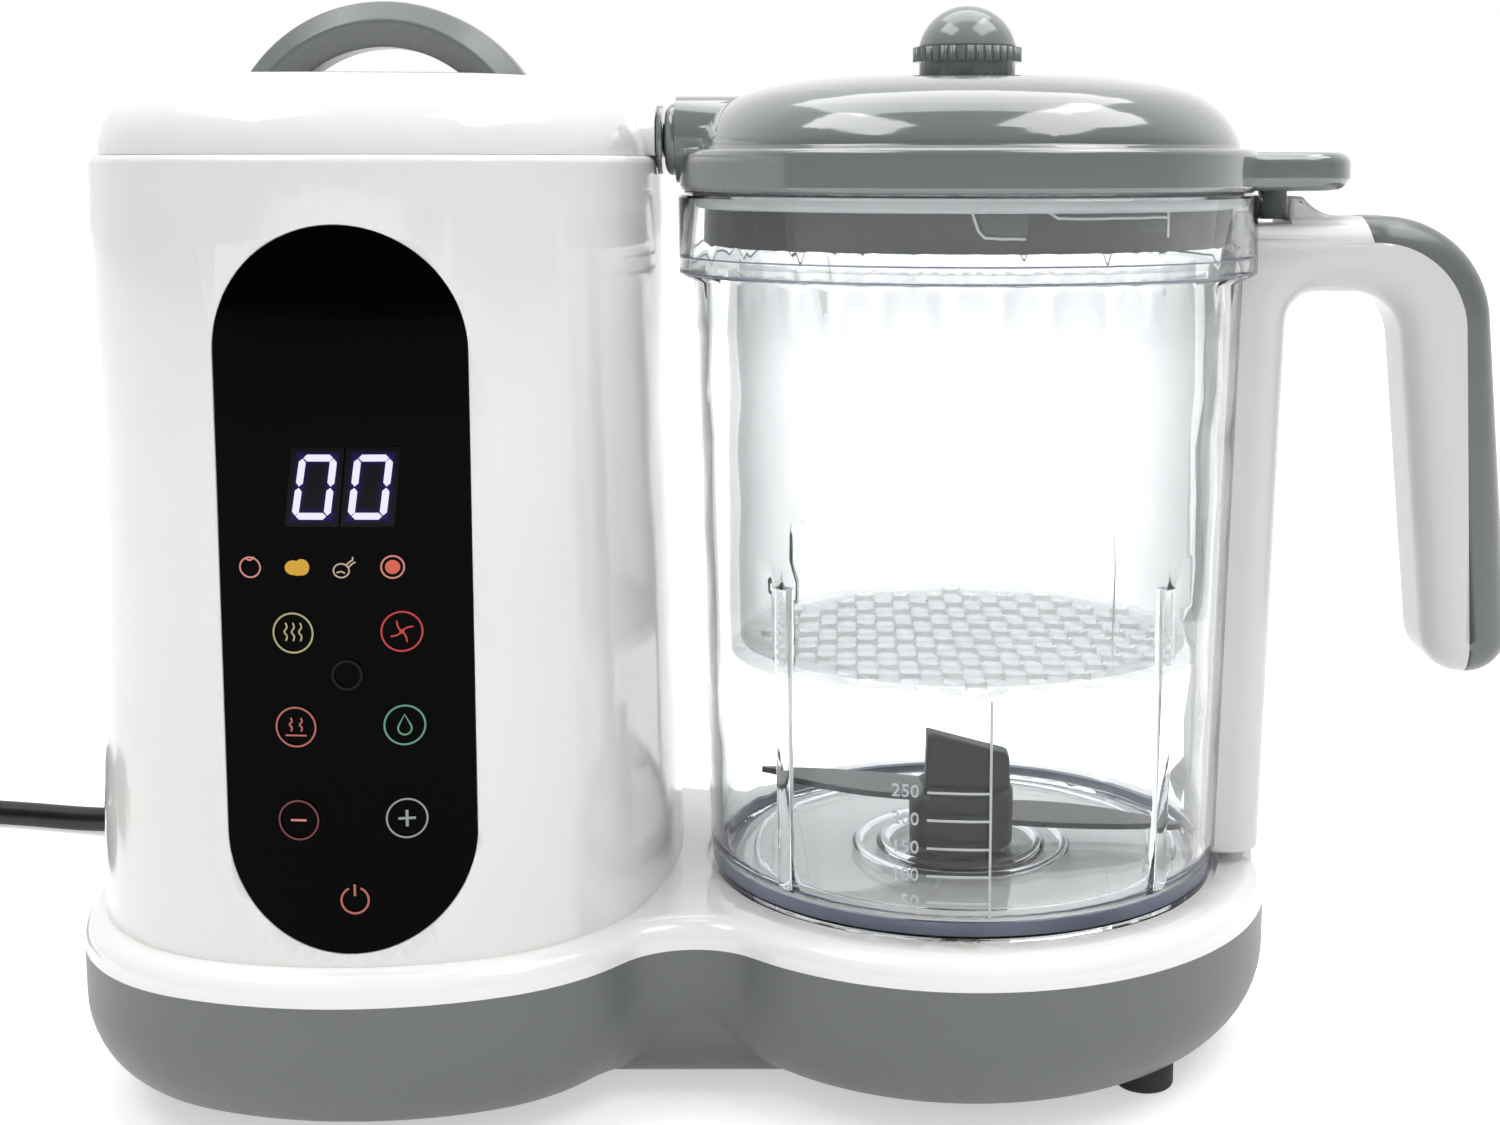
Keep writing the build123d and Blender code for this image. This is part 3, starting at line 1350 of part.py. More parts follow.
# Spindle and blade
hex_across = 5.6
hex_high = 20.0
hub_low = 2.2
hub_shoulder = 14.0
hub_wall = 1.75
hub_above_seal = 0.4
hex_below_cavity = 0.2
hub_cavity_radius = jug_boss_radius + free_gap
hub_radius = hub_cavity_radius + hub_wall
hub_cavity_top = jug_boss_top + seal_ring_height + hub_above_seal
hex_low = hub_cavity_top - hex_below_cavity
grip_thickness = 8.0
grip_reach_shares = (-0.69, 0.93)
hub_edge = 1.2
blade_thickness = 1.2
blade_root_reach = 7.0
blade_width = 13.0
blade_sweep = 9.0
blade_sweep_share = 0.33
blade_middle_shares = (0.6, 0.62)
blade_tip_gap = 3.4
upper_blade_shortening = 3.6
upper_blade_root_height = 11.9
upper_blade_tilt = -6.0
lower_blade_root_height = 7.0
lower_blade_tilt = 4.0
blade_turn = 12.0
lower_blade_tip = jug_bottom_radius - jug_wall - jug_rib_proud - blade_tip_gap
upper_blade_tip = lower_blade_tip - upper_blade_shortening


def blade_spindle():
    foot = coupler_floor_top - deck_top + slip_gap
    spindle = post(spindle_radius, foot, hex_low)
    hexagon = RegularPolygon(hex_across / 2, 6, major_radius=False)
    return jug_on_deck * (spindle + Pos(0, 0, hex_low) * extrude(hexagon, hex_high - hex_low))


def driven_coupler():
    foot = coupler_floor_top - deck_top + slip_gap
    star = Pos(0, 0, foot) * extrude(coupling_star(0), driven_coupling_height)
    return jug_on_deck * (star - post(spindle_radius, foot - cut_over, foot + 2 * cut_over))


def blade_plate(tip, root_height, tilt, side, grow):
    # A curved blade from the hub outwards along +X, seen from above like a sickle
    half = blade_width / 2 + grow
    root = blade_root_reach - 2 * grow
    bow = blade_sweep_share * blade_sweep
    points = [(root, -half), (blade_middle_shares[0] * tip, -half - bow), (tip, -blade_sweep)]
    back = [(tip, -blade_sweep), (blade_middle_shares[1] * tip, half - bow), (root, half)]
    face = make_face([Spline(*points), Spline(*back), Line(back[-1], points[0])])
    plate = extrude(face, blade_thickness + 2 * grow)
    plate = Pos(0, 0, root_height - grow) * Rot(0, tilt, 0) * plate
    return Rot(0, 0, side) * plate


def upper_blade_plate(grow):
    return blade_plate(upper_blade_tip, upper_blade_root_height, upper_blade_tilt, 180 + blade_turn, grow)


def lower_blade_plate(grow):
    return blade_plate(lower_blade_tip, lower_blade_root_height, lower_blade_tilt, blade_turn, grow)


def blade_hub():
    hub = post(hub_radius, hub_low, hub_shoulder)
    hub = fillet(hub.edges().group_by(Axis.Z)[-1], hub_edge)
    grip = [(grip_reach_shares[0] * hub_radius, hub_shoulder - hub_edge),
            (grip_reach_shares[0] * hub_radius, blade_grip_high),
            (grip_reach_shares[1] * hub_radius, blade_grip_high - blade_grip_slope),
            (grip_reach_shares[1] * hub_radius, hub_shoulder - hub_edge)]
    fin = extrude(Plane.XZ * make_face(Polyline(*grip, close=True)), grip_thickness / 2, both=True)
    fin = fillet(fin.edges().filter_by(Axis.Z), hub_edge)
    hub += fin
    hub -= post(hub_cavity_radius, -cut_over, hub_cavity_top)
    hexagon = RegularPolygon(hex_across / 2 + seat_gap, 6, major_radius=False)
    hub -= extrude(hexagon, hex_high + seat_gap)
    return jug_on_deck * (hub - upper_blade_plate(2 * seat_gap) - lower_blade_plate(2 * seat_gap))


def blade_bore():
    # A blade's root stops short of the spindle
    return post(hex_across / 2 + blade_thickness, -cut_over, hex_high)


def upper_blade():
    return jug_on_deck * (upper_blade_plate(0) - blade_bore())


def lower_blade():
    return jug_on_deck * (lower_blade_plate(0) - blade_bore())


# The jug's lid with its seal, and the ring that meets the steam nozzle
lid_flange_edge = 1.5
lid_dome_shares = ((0.939, 0.07), (0.904, 0.36), (0.835, 0.654), (0.713, 0.875), (0.574, 0.985))
lid_boss_radius = 8.7
lid_boss_length = 14.0
lid_inlet_bore = 5.55
inlet_ring_radius = 7.3
inlet_ring_rounding = 1.9
inlet_spigot_radius = 5.5
inlet_spigot_length = 5.0
inlet_bore_radius = 3.8
lid_tab_length = 19.5
lid_tab_half_width = 11.5
lid_tab_rise = 0.4
lid_tab_thickness = 7.6
lid_tab_edge = 2.6
lid_hook_depth = 5.1
lid_hook_half_width = 7.0
lid_seal_depth = 3.0
lid_seal_height = 2.9
lid_seal_edge = 0.8
vent_hole_radius = 2.0
vent_hole_reach = 6.6
inlet_shoulder_share = 0.4
lid_boss_root = lid_boss_reach - lid_boss_length
lid_tab_reach = lid_flange_radius + lid_tab_length
lid_tab_low = lid_flange_bottom + lid_tab_rise
lid_tab_high = lid_tab_low + lid_tab_thickness
lid_hook_low = lid_flange_bottom - lid_hook_depth
lid_seal_low = lid_flange_bottom - lid_seal_depth
lid_seal_high = lid_seal_low + lid_seal_height
lid_seal_outer = jug_collar_bore - slip_gap


def lid_dome(inset):
    # The domed top as a solid from the flange up, drawn in by a wall's thickness if wanted
    rise = lid_top - lid_flange_top
    profile = [(share * lid_flange_radius - inset, lid_flange_top + lift * rise - inset)
               for share, lift in lid_dome_shares]
    foot = (profile[0][0], lid_flange_bottom - inset)
    top = (0, lid_top - inset)
    curve = Spline(*profile)
    shoulder = (profile[-2][0] * (1 - inlet_shoulder_share), lid_top - inset)
    edges = [Line((0, foot[1]), foot), Line(foot, profile[0]), curve, Line(profile[-1], shoulder),
             Line(shoulder, top), Line(top, (0, foot[1]))]
    return revolve(Plane.XZ * make_face(edges), Axis.Z)


def lid_shell():
    shell = post(lid_flange_radius, lid_flange_bottom, lid_flange_top)
    shell = fillet(shell.edges(), lid_flange_edge)
    shell += lid_dome(0)
    tab = block(0, lid_tab_reach - lid_tab_half_width, -lid_tab_half_width, lid_tab_half_width,
                lid_tab_low, lid_tab_high)
    tab += post(lid_tab_half_width, lid_tab_low, lid_tab_high, lid_tab_reach - lid_tab_half_width, 0)
    rims = tab.edges().group_by(Axis.Z)
    shell += fillet(rims[0] + rims[-1], lid_tab_edge)
    shell += rod(lid_boss_radius, (-lid_boss_root, 0, nozzle_height), (-lid_boss_reach, 0, nozzle_height))
    shell += block(lid_hook_root, lid_hook_reach, -lid_hook_half_width, lid_hook_half_width,
                   lid_hook_low, lid_tab_high - lid_tab_edge)
    shell += post(lid_skirt_radius, lid_skirt_bottom, lid_flange_bottom)
    shell -= lid_dome(lid_wall)
    shell -= post(lid_skirt_radius - lid_skirt_wall, lid_skirt_bottom - cut_over, lid_flange_bottom + lid_wall)
    shell -= rod(lid_inlet_bore, (-lid_boss_reach - cut_over, 0, nozzle_height),
                 (-lid_boss_reach + inlet_spigot_length, 0, nozzle_height))
    shell -= rod(inlet_bore_radius, (-lid_boss_reach, 0, nozzle_height),
                 (-lid_boss_root + 2 * cut_over, 0, nozzle_height))
    shell += post(knob_post_radius, lid_top, knob_ring_high - knob_cap_depth - slip_gap)
    shell -= post(vent_hole_radius, lid_top - 2 * lid_wall, lid_top + cut_over, vent_hole_reach, 0)
    return jug_on_deck * shell


def lid_seal():
    ring = tube(lid_seal_outer, lid_skirt_radius + seat_gap, lid_seal_low, lid_seal_high)
    outer = ring.edges().filter_by(GeomType.CIRCLE).sort_by(SortBy.RADIUS)[-2:]
    return jug_on_deck * fillet(outer, lid_seal_edge)


def lid_inlet_ring():
    ring = rod(inlet_ring_radius, (-lid_boss_reach, 0, nozzle_height), (-inlet_ring_reach, 0, nozzle_height))
    ring = fillet(ring.edges().group_by(Axis.X)[0], inlet_ring_rounding)
    ring += rod(inlet_spigot_radius, (-lid_boss_reach + inlet_spigot_length - seat_gap, 0, nozzle_height),
                (-lid_boss_reach, 0, nozzle_height))
    return jug_on_deck * (ring - rod(inlet_bore_radius, (-lid_boss_root, 0, nozzle_height),
                                     (-inlet_ring_reach - cut_over, 0, nozzle_height)))


# The vent's knob on top of the lid
knob_post_radius = 4.0
knob_base_radius = 9.6
knob_ring_radius = 10.85
knob_ring_rise = 3.7
knob_ring_height = 2.8
knob_ridges = 36
knob_ridge_radius = 0.7
knob_cap_depth = 1.6
knob_cap_plug_radius = 7.0
knob_ball_radius = 9.84
knob_ball_height = 8.2
knob_ring_low = lid_top + knob_ring_rise
knob_ring_high = knob_ring_low + knob_ring_height
knob_ball_top = knob_ring_high + knob_ball_height


def vent_knob_ring():
    foot = lid_top + slip_gap
    ring = post(knob_base_radius, foot, knob_ring_high)
    rim = Circle(knob_ring_radius - knob_ridge_radius)
    ridges = PolarLocations(knob_ring_radius - knob_ridge_radius, knob_ridges) * Circle(knob_ridge_radius)
    ring += Pos(0, 0, knob_ring_low) * extrude(rim + ridges, knob_ring_high - knob_ring_low)
    ring -= post(knob_post_radius + running_gap, foot - cut_over, knob_ring_high + cut_over)
    ring -= post(knob_cap_plug_radius + seat_gap, knob_ring_high - knob_cap_depth - seat_gap,
                 knob_ring_high + cut_over)
    ring -= post(vent_hole_radius, foot - cut_over, foot + knob_cap_depth, vent_hole_reach, 0)
    return jug_on_deck * ring


def vent_knob_ball():
    ball = Pos(0, 0, knob_ball_top - knob_ball_radius) * Sphere(knob_ball_radius)
    ball &= post(2 * knob_ball_radius, knob_ring_high, knob_ball_top + cut_over)
    return jug_on_deck * (ball + post(knob_cap_plug_radius, knob_ring_high - knob_cap_depth, knob_ring_high))


# The mains lead, its coil on the floor and its plug, all beside and behind the tower
lead_diameters = 2 * lead_radius
floor_gap = 0.05
lead_floor_z = lead_radius + floor_gap
lead_steps = ((0, 0), (-12.5, 11.0), (-28.5, 18.5), (-47.5, 23.1), (-67.5, 28.1), (-87.0, 31.5), (-106.5, 31.5))
lead_heights = (17.8, 11.0, 5.0)
lead_run_in = 17.3
coil_radius = 40.7
coil_pitch = 6.95
coil_end_run = 6.5
coil_tail_run = 18.5
coil_check_step = 1.5
coil_lower_shares = (0, 0.5, 1.0, 1.5, 2.25)
coil_upper_shares = (2.25, 1.5, 1.0, 0.5)


def lead_points():
    # From the gland's tip down to the floor, then level away from the tower
    at, way = gland_line()
    tip = at + way * boot_length
    first = tip + way * lead_run_in
    points = [tip, first]
    for index, (step_x, step_y) in enumerate(lead_steps[1:]):
        height = lead_heights[index + 1] if index + 1 < len(lead_heights) else lead_floor_z
        points.append(Vector(first.X + step_x, first.Y + step_y, height))
    return points


def mains_lead():
    points = [tuple(point) for point in lead_points()]
    return bent_tube(points, bend_radii(points), lead_radius)


def flat_half_turn(centre_x, start_y, end_y, height):
    # A level half turn between two points on the coil's middle line
    radius = abs(end_y - start_y) / 2
    side = -1 if start_y > end_y else 1
    return ThreePointArc((centre_x, start_y, height), (centre_x + side * radius, (start_y + end_y) / 2, height),
                         (centre_x, end_y, height))


def climbing_half_turn(centre_x, centre_y, radius, low, high):
    # Half a turn that climbs one layer: two arcs that meet half way up, each level at its own end
    half = (high - low) / 2
    middle = (centre_x - sqrt(radius ** 2 + half ** 2), centre_y, low + half)
    start = (centre_x, centre_y + radius, low)
    end = (centre_x, centre_y - radius, high)
    first = TangentArc(start, middle, tangent=(-1, 0, 0))
    second = TangentArc(middle, end, tangent=(-1, 0, 0), tangent_from_first=False)
    return [first, second]


def coil_path():
    # The spiral goes in along the floor, climbs a layer on its outer side and comes out again
    lead_end = lead_points()[-1]
    north_x = lead_end.X - coil_end_run
    centre_y = lead_end.Y - coil_radius
    low = lead_floor_z
    high = lead_floor_z + coil_pitch
    edges = [Line(tuple(lead_end), (north_x, lead_end.Y, low))]
    y = lead_end.Y
    side = -1
    for share in coil_lower_shares[1:]:
        next_y = centre_y + side * (coil_radius - share * coil_pitch)
        edges.append(flat_half_turn(north_x, y, next_y, low))
        y = next_y
        side = -side
    inner = coil_radius - coil_lower_shares[-1] * coil_pitch
    edges += climbing_half_turn(north_x, centre_y, inner, low, high)
    y = centre_y - inner
    side = 1
    for share in coil_upper_shares[1:]:
        next_y = centre_y + side * (coil_radius - share * coil_pitch)
        edges.append(flat_half_turn(north_x, y, next_y, high))
        y = next_y
        side = -side
    quarter = coil_radius - coil_upper_shares[-1] * coil_pitch / 2
    west = (north_x - quarter, y - quarter, high)
    edges.append(TangentArc((north_x, y, high), west, tangent=(-1, 0, 0)))
    end = (west[0], west[1] - coil_tail_run, high)
    edges.append(Line(west, end))
    return Wire(edges), Vector(*end)


coil_line, coil_end = coil_path()


def mains_lead_coil():
    plane = Plane(coil_line @ 0, z_dir=coil_line % 0)
    return sweep(plane * Circle(lead_radius), coil_line)


def least_coil_gap():
    # The least distance between stretches of the coil that lie further apart along it
    count = int(coil_line.length / coil_check_step)
    points = [coil_line @ (index / count) for index in range(count + 1)]
    apart = int(3 * lead_diameters / coil_check_step)
    least = min((points[first] - points[second]).length for first in range(count + 1)
                for second in range(first + apart, count + 1))
    return least - lead_diameters


# The plug beyond the coil's upper end, lying on its side
plug_boot_length = 14.0
plug_boot_tip_radius = 4.2
plug_boot_root_radius = 7.0
plug_half_width = 12.5
plug_half_height = 9.8
plug_length = 34.0
plug_corner_radius = 6.0
plug_edge = 2.5
plug_pin_length = 17.0
plug_pin_spacing = 12.7
plug_pin_width = 6.3
plug_pin_thickness = 1.5
plug_pin_hold = 6.0


def plug_body():
    boot_end = coil_end.Y - plug_boot_length
    body = cone(plug_boot_tip_radius, plug_boot_root_radius, tuple(coil_end),
                (coil_end.X, boot_end, coil_end.Z))
    plane = Plane((coil_end.X, boot_end, coil_end.Z), x_dir=(1, 0, 0), z_dir=(0, -1, 0))
    grip = extrude(plane * RectangleRounded(2 * plug_half_width, 2 * plug_half_height, plug_corner_radius),
                   plug_length)
    rims = grip.edges().group_by(Axis.Y)
    body += fillet(rims[0] + rims[-1], plug_edge)
    return body - plug_pin_shape(0)


def plug_pin_shape(grow):
    face_y = coil_end.Y - plug_boot_length - plug_length
    pins = []
    for side in (1, -1):
        x = coil_end.X + side * plug_pin_spacing / 2
        pins.append(block(x - plug_pin_thickness / 2 - grow, x + plug_pin_thickness / 2 + grow,
                          face_y - plug_pin_length, face_y + plug_pin_hold,
                          coil_end.Z - plug_pin_width / 2 - grow, coil_end.Z + plug_pin_width / 2 + grow))
    return Compound(children=pins)


def plug_pins():
    return plug_pin_shape(0)


pieces = (
    rubber_feet, base_lower_shell, base_deck, base_screws, power_board, safety_switch, switch_pin,
    drive_bushes, drive_shaft, driven_pulley, drive_coupler, drive_belt, motor_pulley, motor_bracket,
    motor_can, motor_field, motor_bushes, motor_armature, motor_fan, boiler, boiler_heater, water_pump,
    feed_hose, tank_hose, steam_pipe, steam_nozzle, tower_shell, control_panel, control_board,
    display_module, tank_bay, tank_dock, water_tank, tank_valve, tank_lid, arch_handle, jug_vessel,
    spindle_bush, spindle_seal, handle_frame, handle_cover, handle_screws, steam_basket, blade_spindle,
    driven_coupler, blade_hub, upper_blade, lower_blade, lid_shell, lid_seal, lid_inlet_ring,
    vent_knob_ring, vent_knob_ball, cord_gland, mains_lead, mains_lead_coil, plug_body, plug_pins,
)

for make in pieces:
    export_step(make(), "parts/" + make.__name__ + ".step")

lead_route = [tuple(point) for point in lead_points()]
lead_length = sum((Vector(*b) - Vector(*a)).length for a, b in zip(lead_route, lead_route[1:]))
print("lead radii", [round(radius, 1) for radius in bend_radii(lead_route)])
print("lead runs", round(lead_length, 1), "coil", round(coil_line.length, 1))
print("least gap in the coil", round(least_coil_gap(), 2))
print("jug axis", round(jug_x, 4), "tower axis", round(tower_x, 4), "motor axis", round(motor_x, 4))
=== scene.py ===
import bmesh
import bpy
import json
from math import cos, hypot, pi, radians, sin, sqrt
from mathutils import Matrix, Vector

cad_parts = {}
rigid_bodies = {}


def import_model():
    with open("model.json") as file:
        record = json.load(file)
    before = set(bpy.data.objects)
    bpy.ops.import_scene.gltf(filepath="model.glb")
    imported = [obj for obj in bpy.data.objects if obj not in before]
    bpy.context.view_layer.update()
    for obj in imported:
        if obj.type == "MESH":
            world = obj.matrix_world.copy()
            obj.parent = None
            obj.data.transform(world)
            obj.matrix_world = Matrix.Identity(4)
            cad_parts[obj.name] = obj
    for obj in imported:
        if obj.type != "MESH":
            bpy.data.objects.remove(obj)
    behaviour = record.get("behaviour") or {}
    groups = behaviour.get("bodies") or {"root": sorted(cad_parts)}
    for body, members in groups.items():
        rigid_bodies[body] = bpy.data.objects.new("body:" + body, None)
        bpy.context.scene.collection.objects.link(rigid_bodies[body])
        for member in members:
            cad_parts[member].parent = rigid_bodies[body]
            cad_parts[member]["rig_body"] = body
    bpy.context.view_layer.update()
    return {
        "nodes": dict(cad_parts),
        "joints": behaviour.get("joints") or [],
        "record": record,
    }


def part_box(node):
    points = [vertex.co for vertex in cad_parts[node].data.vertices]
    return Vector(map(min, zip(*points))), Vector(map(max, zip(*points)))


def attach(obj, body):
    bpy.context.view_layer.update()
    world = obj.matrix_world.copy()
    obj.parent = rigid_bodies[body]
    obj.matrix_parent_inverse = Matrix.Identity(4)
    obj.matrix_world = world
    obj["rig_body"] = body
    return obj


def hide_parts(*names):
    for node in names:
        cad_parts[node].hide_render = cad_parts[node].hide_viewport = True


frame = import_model()
nodes = frame["nodes"]
mm = 0.001
joints = {joint["name"]: joint for joint in frame["joints"]}
jugX = joints["spindle_spin"]["pos_m"][0]
towerX = sum(corner.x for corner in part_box("arch_handle")) / 2
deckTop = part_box("tower_shell")[0].z
print("frame loaded:", len(nodes), "nodes")

# camera, at the photograph's place and angle
view = {
    "place": (6.4, -406.9, 179.15),
    "tilt": 0.138,
    "lens": 48.14,
    "shiftX": -0.0567,
    "shiftY": -0.0795,
}
cameraData = bpy.data.cameras.new("camera")
cameraData.lens = view["lens"]
cameraData.shift_x = view["shiftX"]
cameraData.shift_y = view["shiftY"]
cameraData.clip_start = 0.01
camera = bpy.data.objects.new("camera", cameraData)
camera.location = [value * mm for value in view["place"]]
camera.rotation_euler = (pi / 2 - view["tilt"], 0, 0)
bpy.context.scene.collection.objects.link(camera)
bpy.context.scene.camera = camera


# materials
def linearColour(hexColour):
    channels = [int(hexColour[start:start + 2], 16) / 255 for start in (1, 3, 5)]
    return [c / 12.92 if c <= 0.04045 else ((c + 0.055) / 1.055) ** 2.4 for c in channels] + [1.0]


def addNode(tree, kind, settings=(), links=()):
    node = tree.nodes.new(kind)
    for name, value in dict(settings).items():
        if name in node.inputs:
            node.inputs[name].default_value = value
        else:
            setattr(node, name, value)
    for name, source in dict(links).items():
        tree.links.new(source, node.inputs[name])
    return node


def newMaterial(name, shader):
    # a material with its own principled shader; returns the material, its node tree and the shader
    material = bpy.data.materials.new(name)
    material.use_nodes = True
    tree = material.node_tree
    principled = tree.nodes["Principled BSDF"]
    for socket, value in shader.items():
        principled.inputs[socket].default_value = value
    return material, tree, principled


def surfaceTexture(tree, principled, size, depth, rough=None, detail=2.0, stretch=(1, 1, 1)):
    # a bump of a given grain size and depth in millimetres, and if wanted an uneven roughness
    place = addNode(tree, "ShaderNodeTexCoord")
    mapping = addNode(tree, "ShaderNodeMapping", {"Scale": stretch}, {"Vector": place.outputs["Object"]})
    noise = addNode(tree, "ShaderNodeTexNoise", {"Scale": 1 / (size * mm), "Detail": detail},
                    {"Vector": mapping.outputs["Vector"]})
    bump = addNode(tree, "ShaderNodeBump", {"Distance": depth * mm, "Strength": 1.0},
                   {"Height": noise.outputs["Fac"]})
    tree.links.new(bump.outputs["Normal"], principled.inputs["Normal"])
    if rough:
        wide = addNode(tree, "ShaderNodeTexNoise", {"Scale": 1 / (rough[2] * mm), "Detail": 3.0},
                       {"Vector": place.outputs["Object"]})
        spread = addNode(tree, "ShaderNodeMapRange", {"To Min": rough[0], "To Max": rough[1]},
                         {"Value": wide.outputs["Fac"]})
        tree.links.new(spread.outputs["Result"], principled.inputs["Roughness"])


def colourSpread(tree, principled, first, second, size):
    # two near colours in soft patches of a given size in millimetres
    place = addNode(tree, "ShaderNodeTexCoord")
    noise = addNode(tree, "ShaderNodeTexNoise", {"Scale": 1 / (size * mm), "Detail": 3.0},
                    {"Vector": place.outputs["Object"]})
    ramp = addNode(tree, "ShaderNodeValToRGB", {}, {"Fac": noise.outputs["Fac"]})
    ramp.color_ramp.elements[0].position = 0.35
    ramp.color_ramp.elements[1].position = 0.65
    ramp.color_ramp.elements[0].color = linearColour(first)
    ramp.color_ramp.elements[1].color = linearColour(second)
    tree.links.new(ramp.outputs["Color"], principled.inputs["Base Color"])


def mouldedPlastic(name, colours, ior, rough, grain, coat=0.0):
    # injection-moulded plastic: nearly even colour, its gloss from the mould's polish or spark texture
    material, tree, principled = newMaterial(name, {
        "IOR": ior, "Coat Weight": coat, "Coat Roughness": 0.05})
    colourSpread(tree, principled, colours[0], colours[1], 60)
    surfaceTexture(tree, principled, grain[0], grain[1], (rough[0], rough[1], 35))
    return material


def lampsPass(tree, shader, clear):
    # a clear wall that lamp light goes straight through, so that what stands behind it is lit
    path = addNode(tree, "ShaderNodeLightPath")
    light = addNode(tree, "ShaderNodeMath", {"operation": "MAXIMUM"})
    tree.links.new(path.outputs["Is Shadow Ray"], light.inputs[0])
    tree.links.new(path.outputs["Is Diffuse Ray"], light.inputs[1])
    through = addNode(tree, "ShaderNodeBsdfTransparent", {"Color": (clear, clear, clear, 1.0)})
    mix = addNode(tree, "ShaderNodeMixShader", {}, {"Fac": light.outputs[0]})
    tree.links.new(shader, mix.inputs[1])
    tree.links.new(through.outputs[0], mix.inputs[2])
    tree.links.new(mix.outputs[0], tree.nodes["Material Output"].inputs["Surface"])


def clearPlastic(name, colour, ior, rough, ripple, depth):
    # clear copolyester: glassy, with the faint ripple that a moulded wall keeps
    material, tree, principled = newMaterial(name, {
        "Base Color": linearColour(colour), "IOR": ior, "Transmission Weight": 1.0, "Roughness": rough})
    surfaceTexture(tree, principled, ripple, depth)
    lampsPass(tree, principled.outputs[0], 0.96)
    return material


def milkyPlastic(name, colour, least, most, rough, clear=0.985):
    # thin clouded copolyester: nearly clear face on, whiter where the wall is seen along its length
    material, tree, principled = newMaterial(name, {"Base Color": linearColour(colour), "IOR": 1.46})
    surfaceTexture(tree, principled, 5.0, 0.01, (rough, rough + 0.08, 20))
    edge = addNode(tree, "ShaderNodeLayerWeight", {"Blend": 0.4})
    cloud = addNode(tree, "ShaderNodeMapRange", {
        "From Min": 0.25, "From Max": 1.0, "To Min": least, "To Max": most},
        {"Value": edge.outputs["Facing"]})
    through = addNode(tree, "ShaderNodeBsdfTransparent", {"Color": (clear, clear, clear, 1.0)})
    mix = addNode(tree, "ShaderNodeMixShader", {}, {"Fac": cloud.outputs[0]})
    tree.links.new(through.outputs[0], mix.inputs[1])
    tree.links.new(principled.outputs[0], mix.inputs[2])
    tree.links.new(mix.outputs[0], tree.nodes["Material Output"].inputs["Surface"])
    return material


def softRubber(name, colours, rough, grain=0.25):
    # moulded rubber: a dull even skin with a fine tooth
    material, tree, principled = newMaterial(name, {"IOR": 1.5, "Specular IOR Level": 0.4})
    colourSpread(tree, principled, colours[0], colours[1], 8)
    surfaceTexture(tree, principled, grain, 0.012, (rough[0], rough[1], 6))
    return material


def groundMetal(name, colour, rough, grain, stretch, metallic=1.0):
    # rolled or ground metal: fine scratches that run one way
    material, tree, principled = newMaterial(name, {
        "Base Color": linearColour(colour), "Metallic": metallic})
    surfaceTexture(tree, principled, grain, 0.004, (rough[0], rough[1], 12), 4.0, stretch)
    return material


def litInk(name, colour, glow):
    # translucent ink in the panel's back, lit from behind: an even coloured glow
    material, tree, principled = newMaterial(name, {
        "Base Color": (0.0, 0.0, 0.0, 1.0), "Roughness": 0.35, "Specular IOR Level": 0.1,
        "Emission Color": linearColour(colour), "Emission Strength": glow})
    surfaceTexture(tree, principled, 0.4, 0.002)
    return material


def litHalo(name, colour, glow):
    # light that spreads in the panel's clear face round lit segments: strongest at their middle lines
    material, tree, principled = newMaterial(name, {
        "Base Color": (0.0, 0.0, 0.0, 1.0), "Roughness": 0.2, "Specular IOR Level": 0.1,
        "Emission Strength": glow})
    spread = addNode(tree, "ShaderNodeAttribute", {"attribute_name": "glow"})
    ramp = addNode(tree, "ShaderNodeValToRGB", {}, {"Fac": spread.outputs["Fac"]})
    ramp.color_ramp.interpolation = "EASE"
    ramp.color_ramp.elements[0].color = (0.0, 0.0, 0.0, 1.0)
    ramp.color_ramp.elements[1].color = linearColour(colour)
    tree.links.new(ramp.outputs["Color"], principled.inputs["Emission Color"])
    return material


def circuitBoard(name):
    # solder mask over copper: glossy green with slightly darker tracks
    material, tree, principled = newMaterial(name, {"IOR": 1.5})
    colourSpread(tree, principled, "#1b5335", "#24683f", 5)
    surfaceTexture(tree, principled, 2.0, 0.02, (0.25, 0.4, 10))
    return material


# polished moulds: crisp lamps in a white skin; the deck's white is painted a little brighter than the
# tower's, painted light on its upward face
glossyWhite = mouldedPlastic("glossy white ABS", ("#eeeeec", "#ebebe9"), 1.54, (0.09, 0.14), (9.0, 0.012),
                             0.3)
deckPaintedLight = mouldedPlastic("bright glossy white ABS", ("#fbfbf9", "#f9f9f7"), 1.54, (0.09, 0.14),
                           (9.0, 0.004), 0.3)
# finely blasted mould: the handle's softer and greyer white
satinWhite = mouldedPlastic("satin white ABS", ("#dbdbd9", "#d8d8d6"), 1.54, (0.22, 0.3), (0.6, 0.004))
# the lid: bright leaf-shaped lamps on mid grey; its skirt is painted a darker grey, painted shade for the
# collar's depth
lidGrey = mouldedPlastic("glossy grey polypropylene", ("#757a7b", "#727677"), 1.58, (0.1, 0.15), (9.0, 0.004),
                         1.0)
# painted light: the knob is the lid's grey painted lighter, for the top light falling on it
knobPaintedLight = mouldedPlastic("light glossy grey polypropylene", ("#85898a", "#828687"), 1.5, (0.12, 0.18),
                          (7.0, 0.004), 0.3)
skirtPaintedShade = mouldedPlastic("shaded glossy polypropylene", ("#2a2c2e", "#282a2c"), 1.49, (0.2, 0.28),
                           (9.0, 0.004))
# satin greys: soft wide highlights, the base with a spark texture of about 0.45 mm
trimGrey = mouldedPlastic("satin grey ABS", ("#6b6f6f", "#686c6c"), 1.54, (0.24, 0.32), (0.5, 0.004))
baseGrey = mouldedPlastic("spark-textured grey ABS", ("#6c6f70", "#696c6d"), 1.54, (0.34, 0.44),
                          (0.45, 0.008))
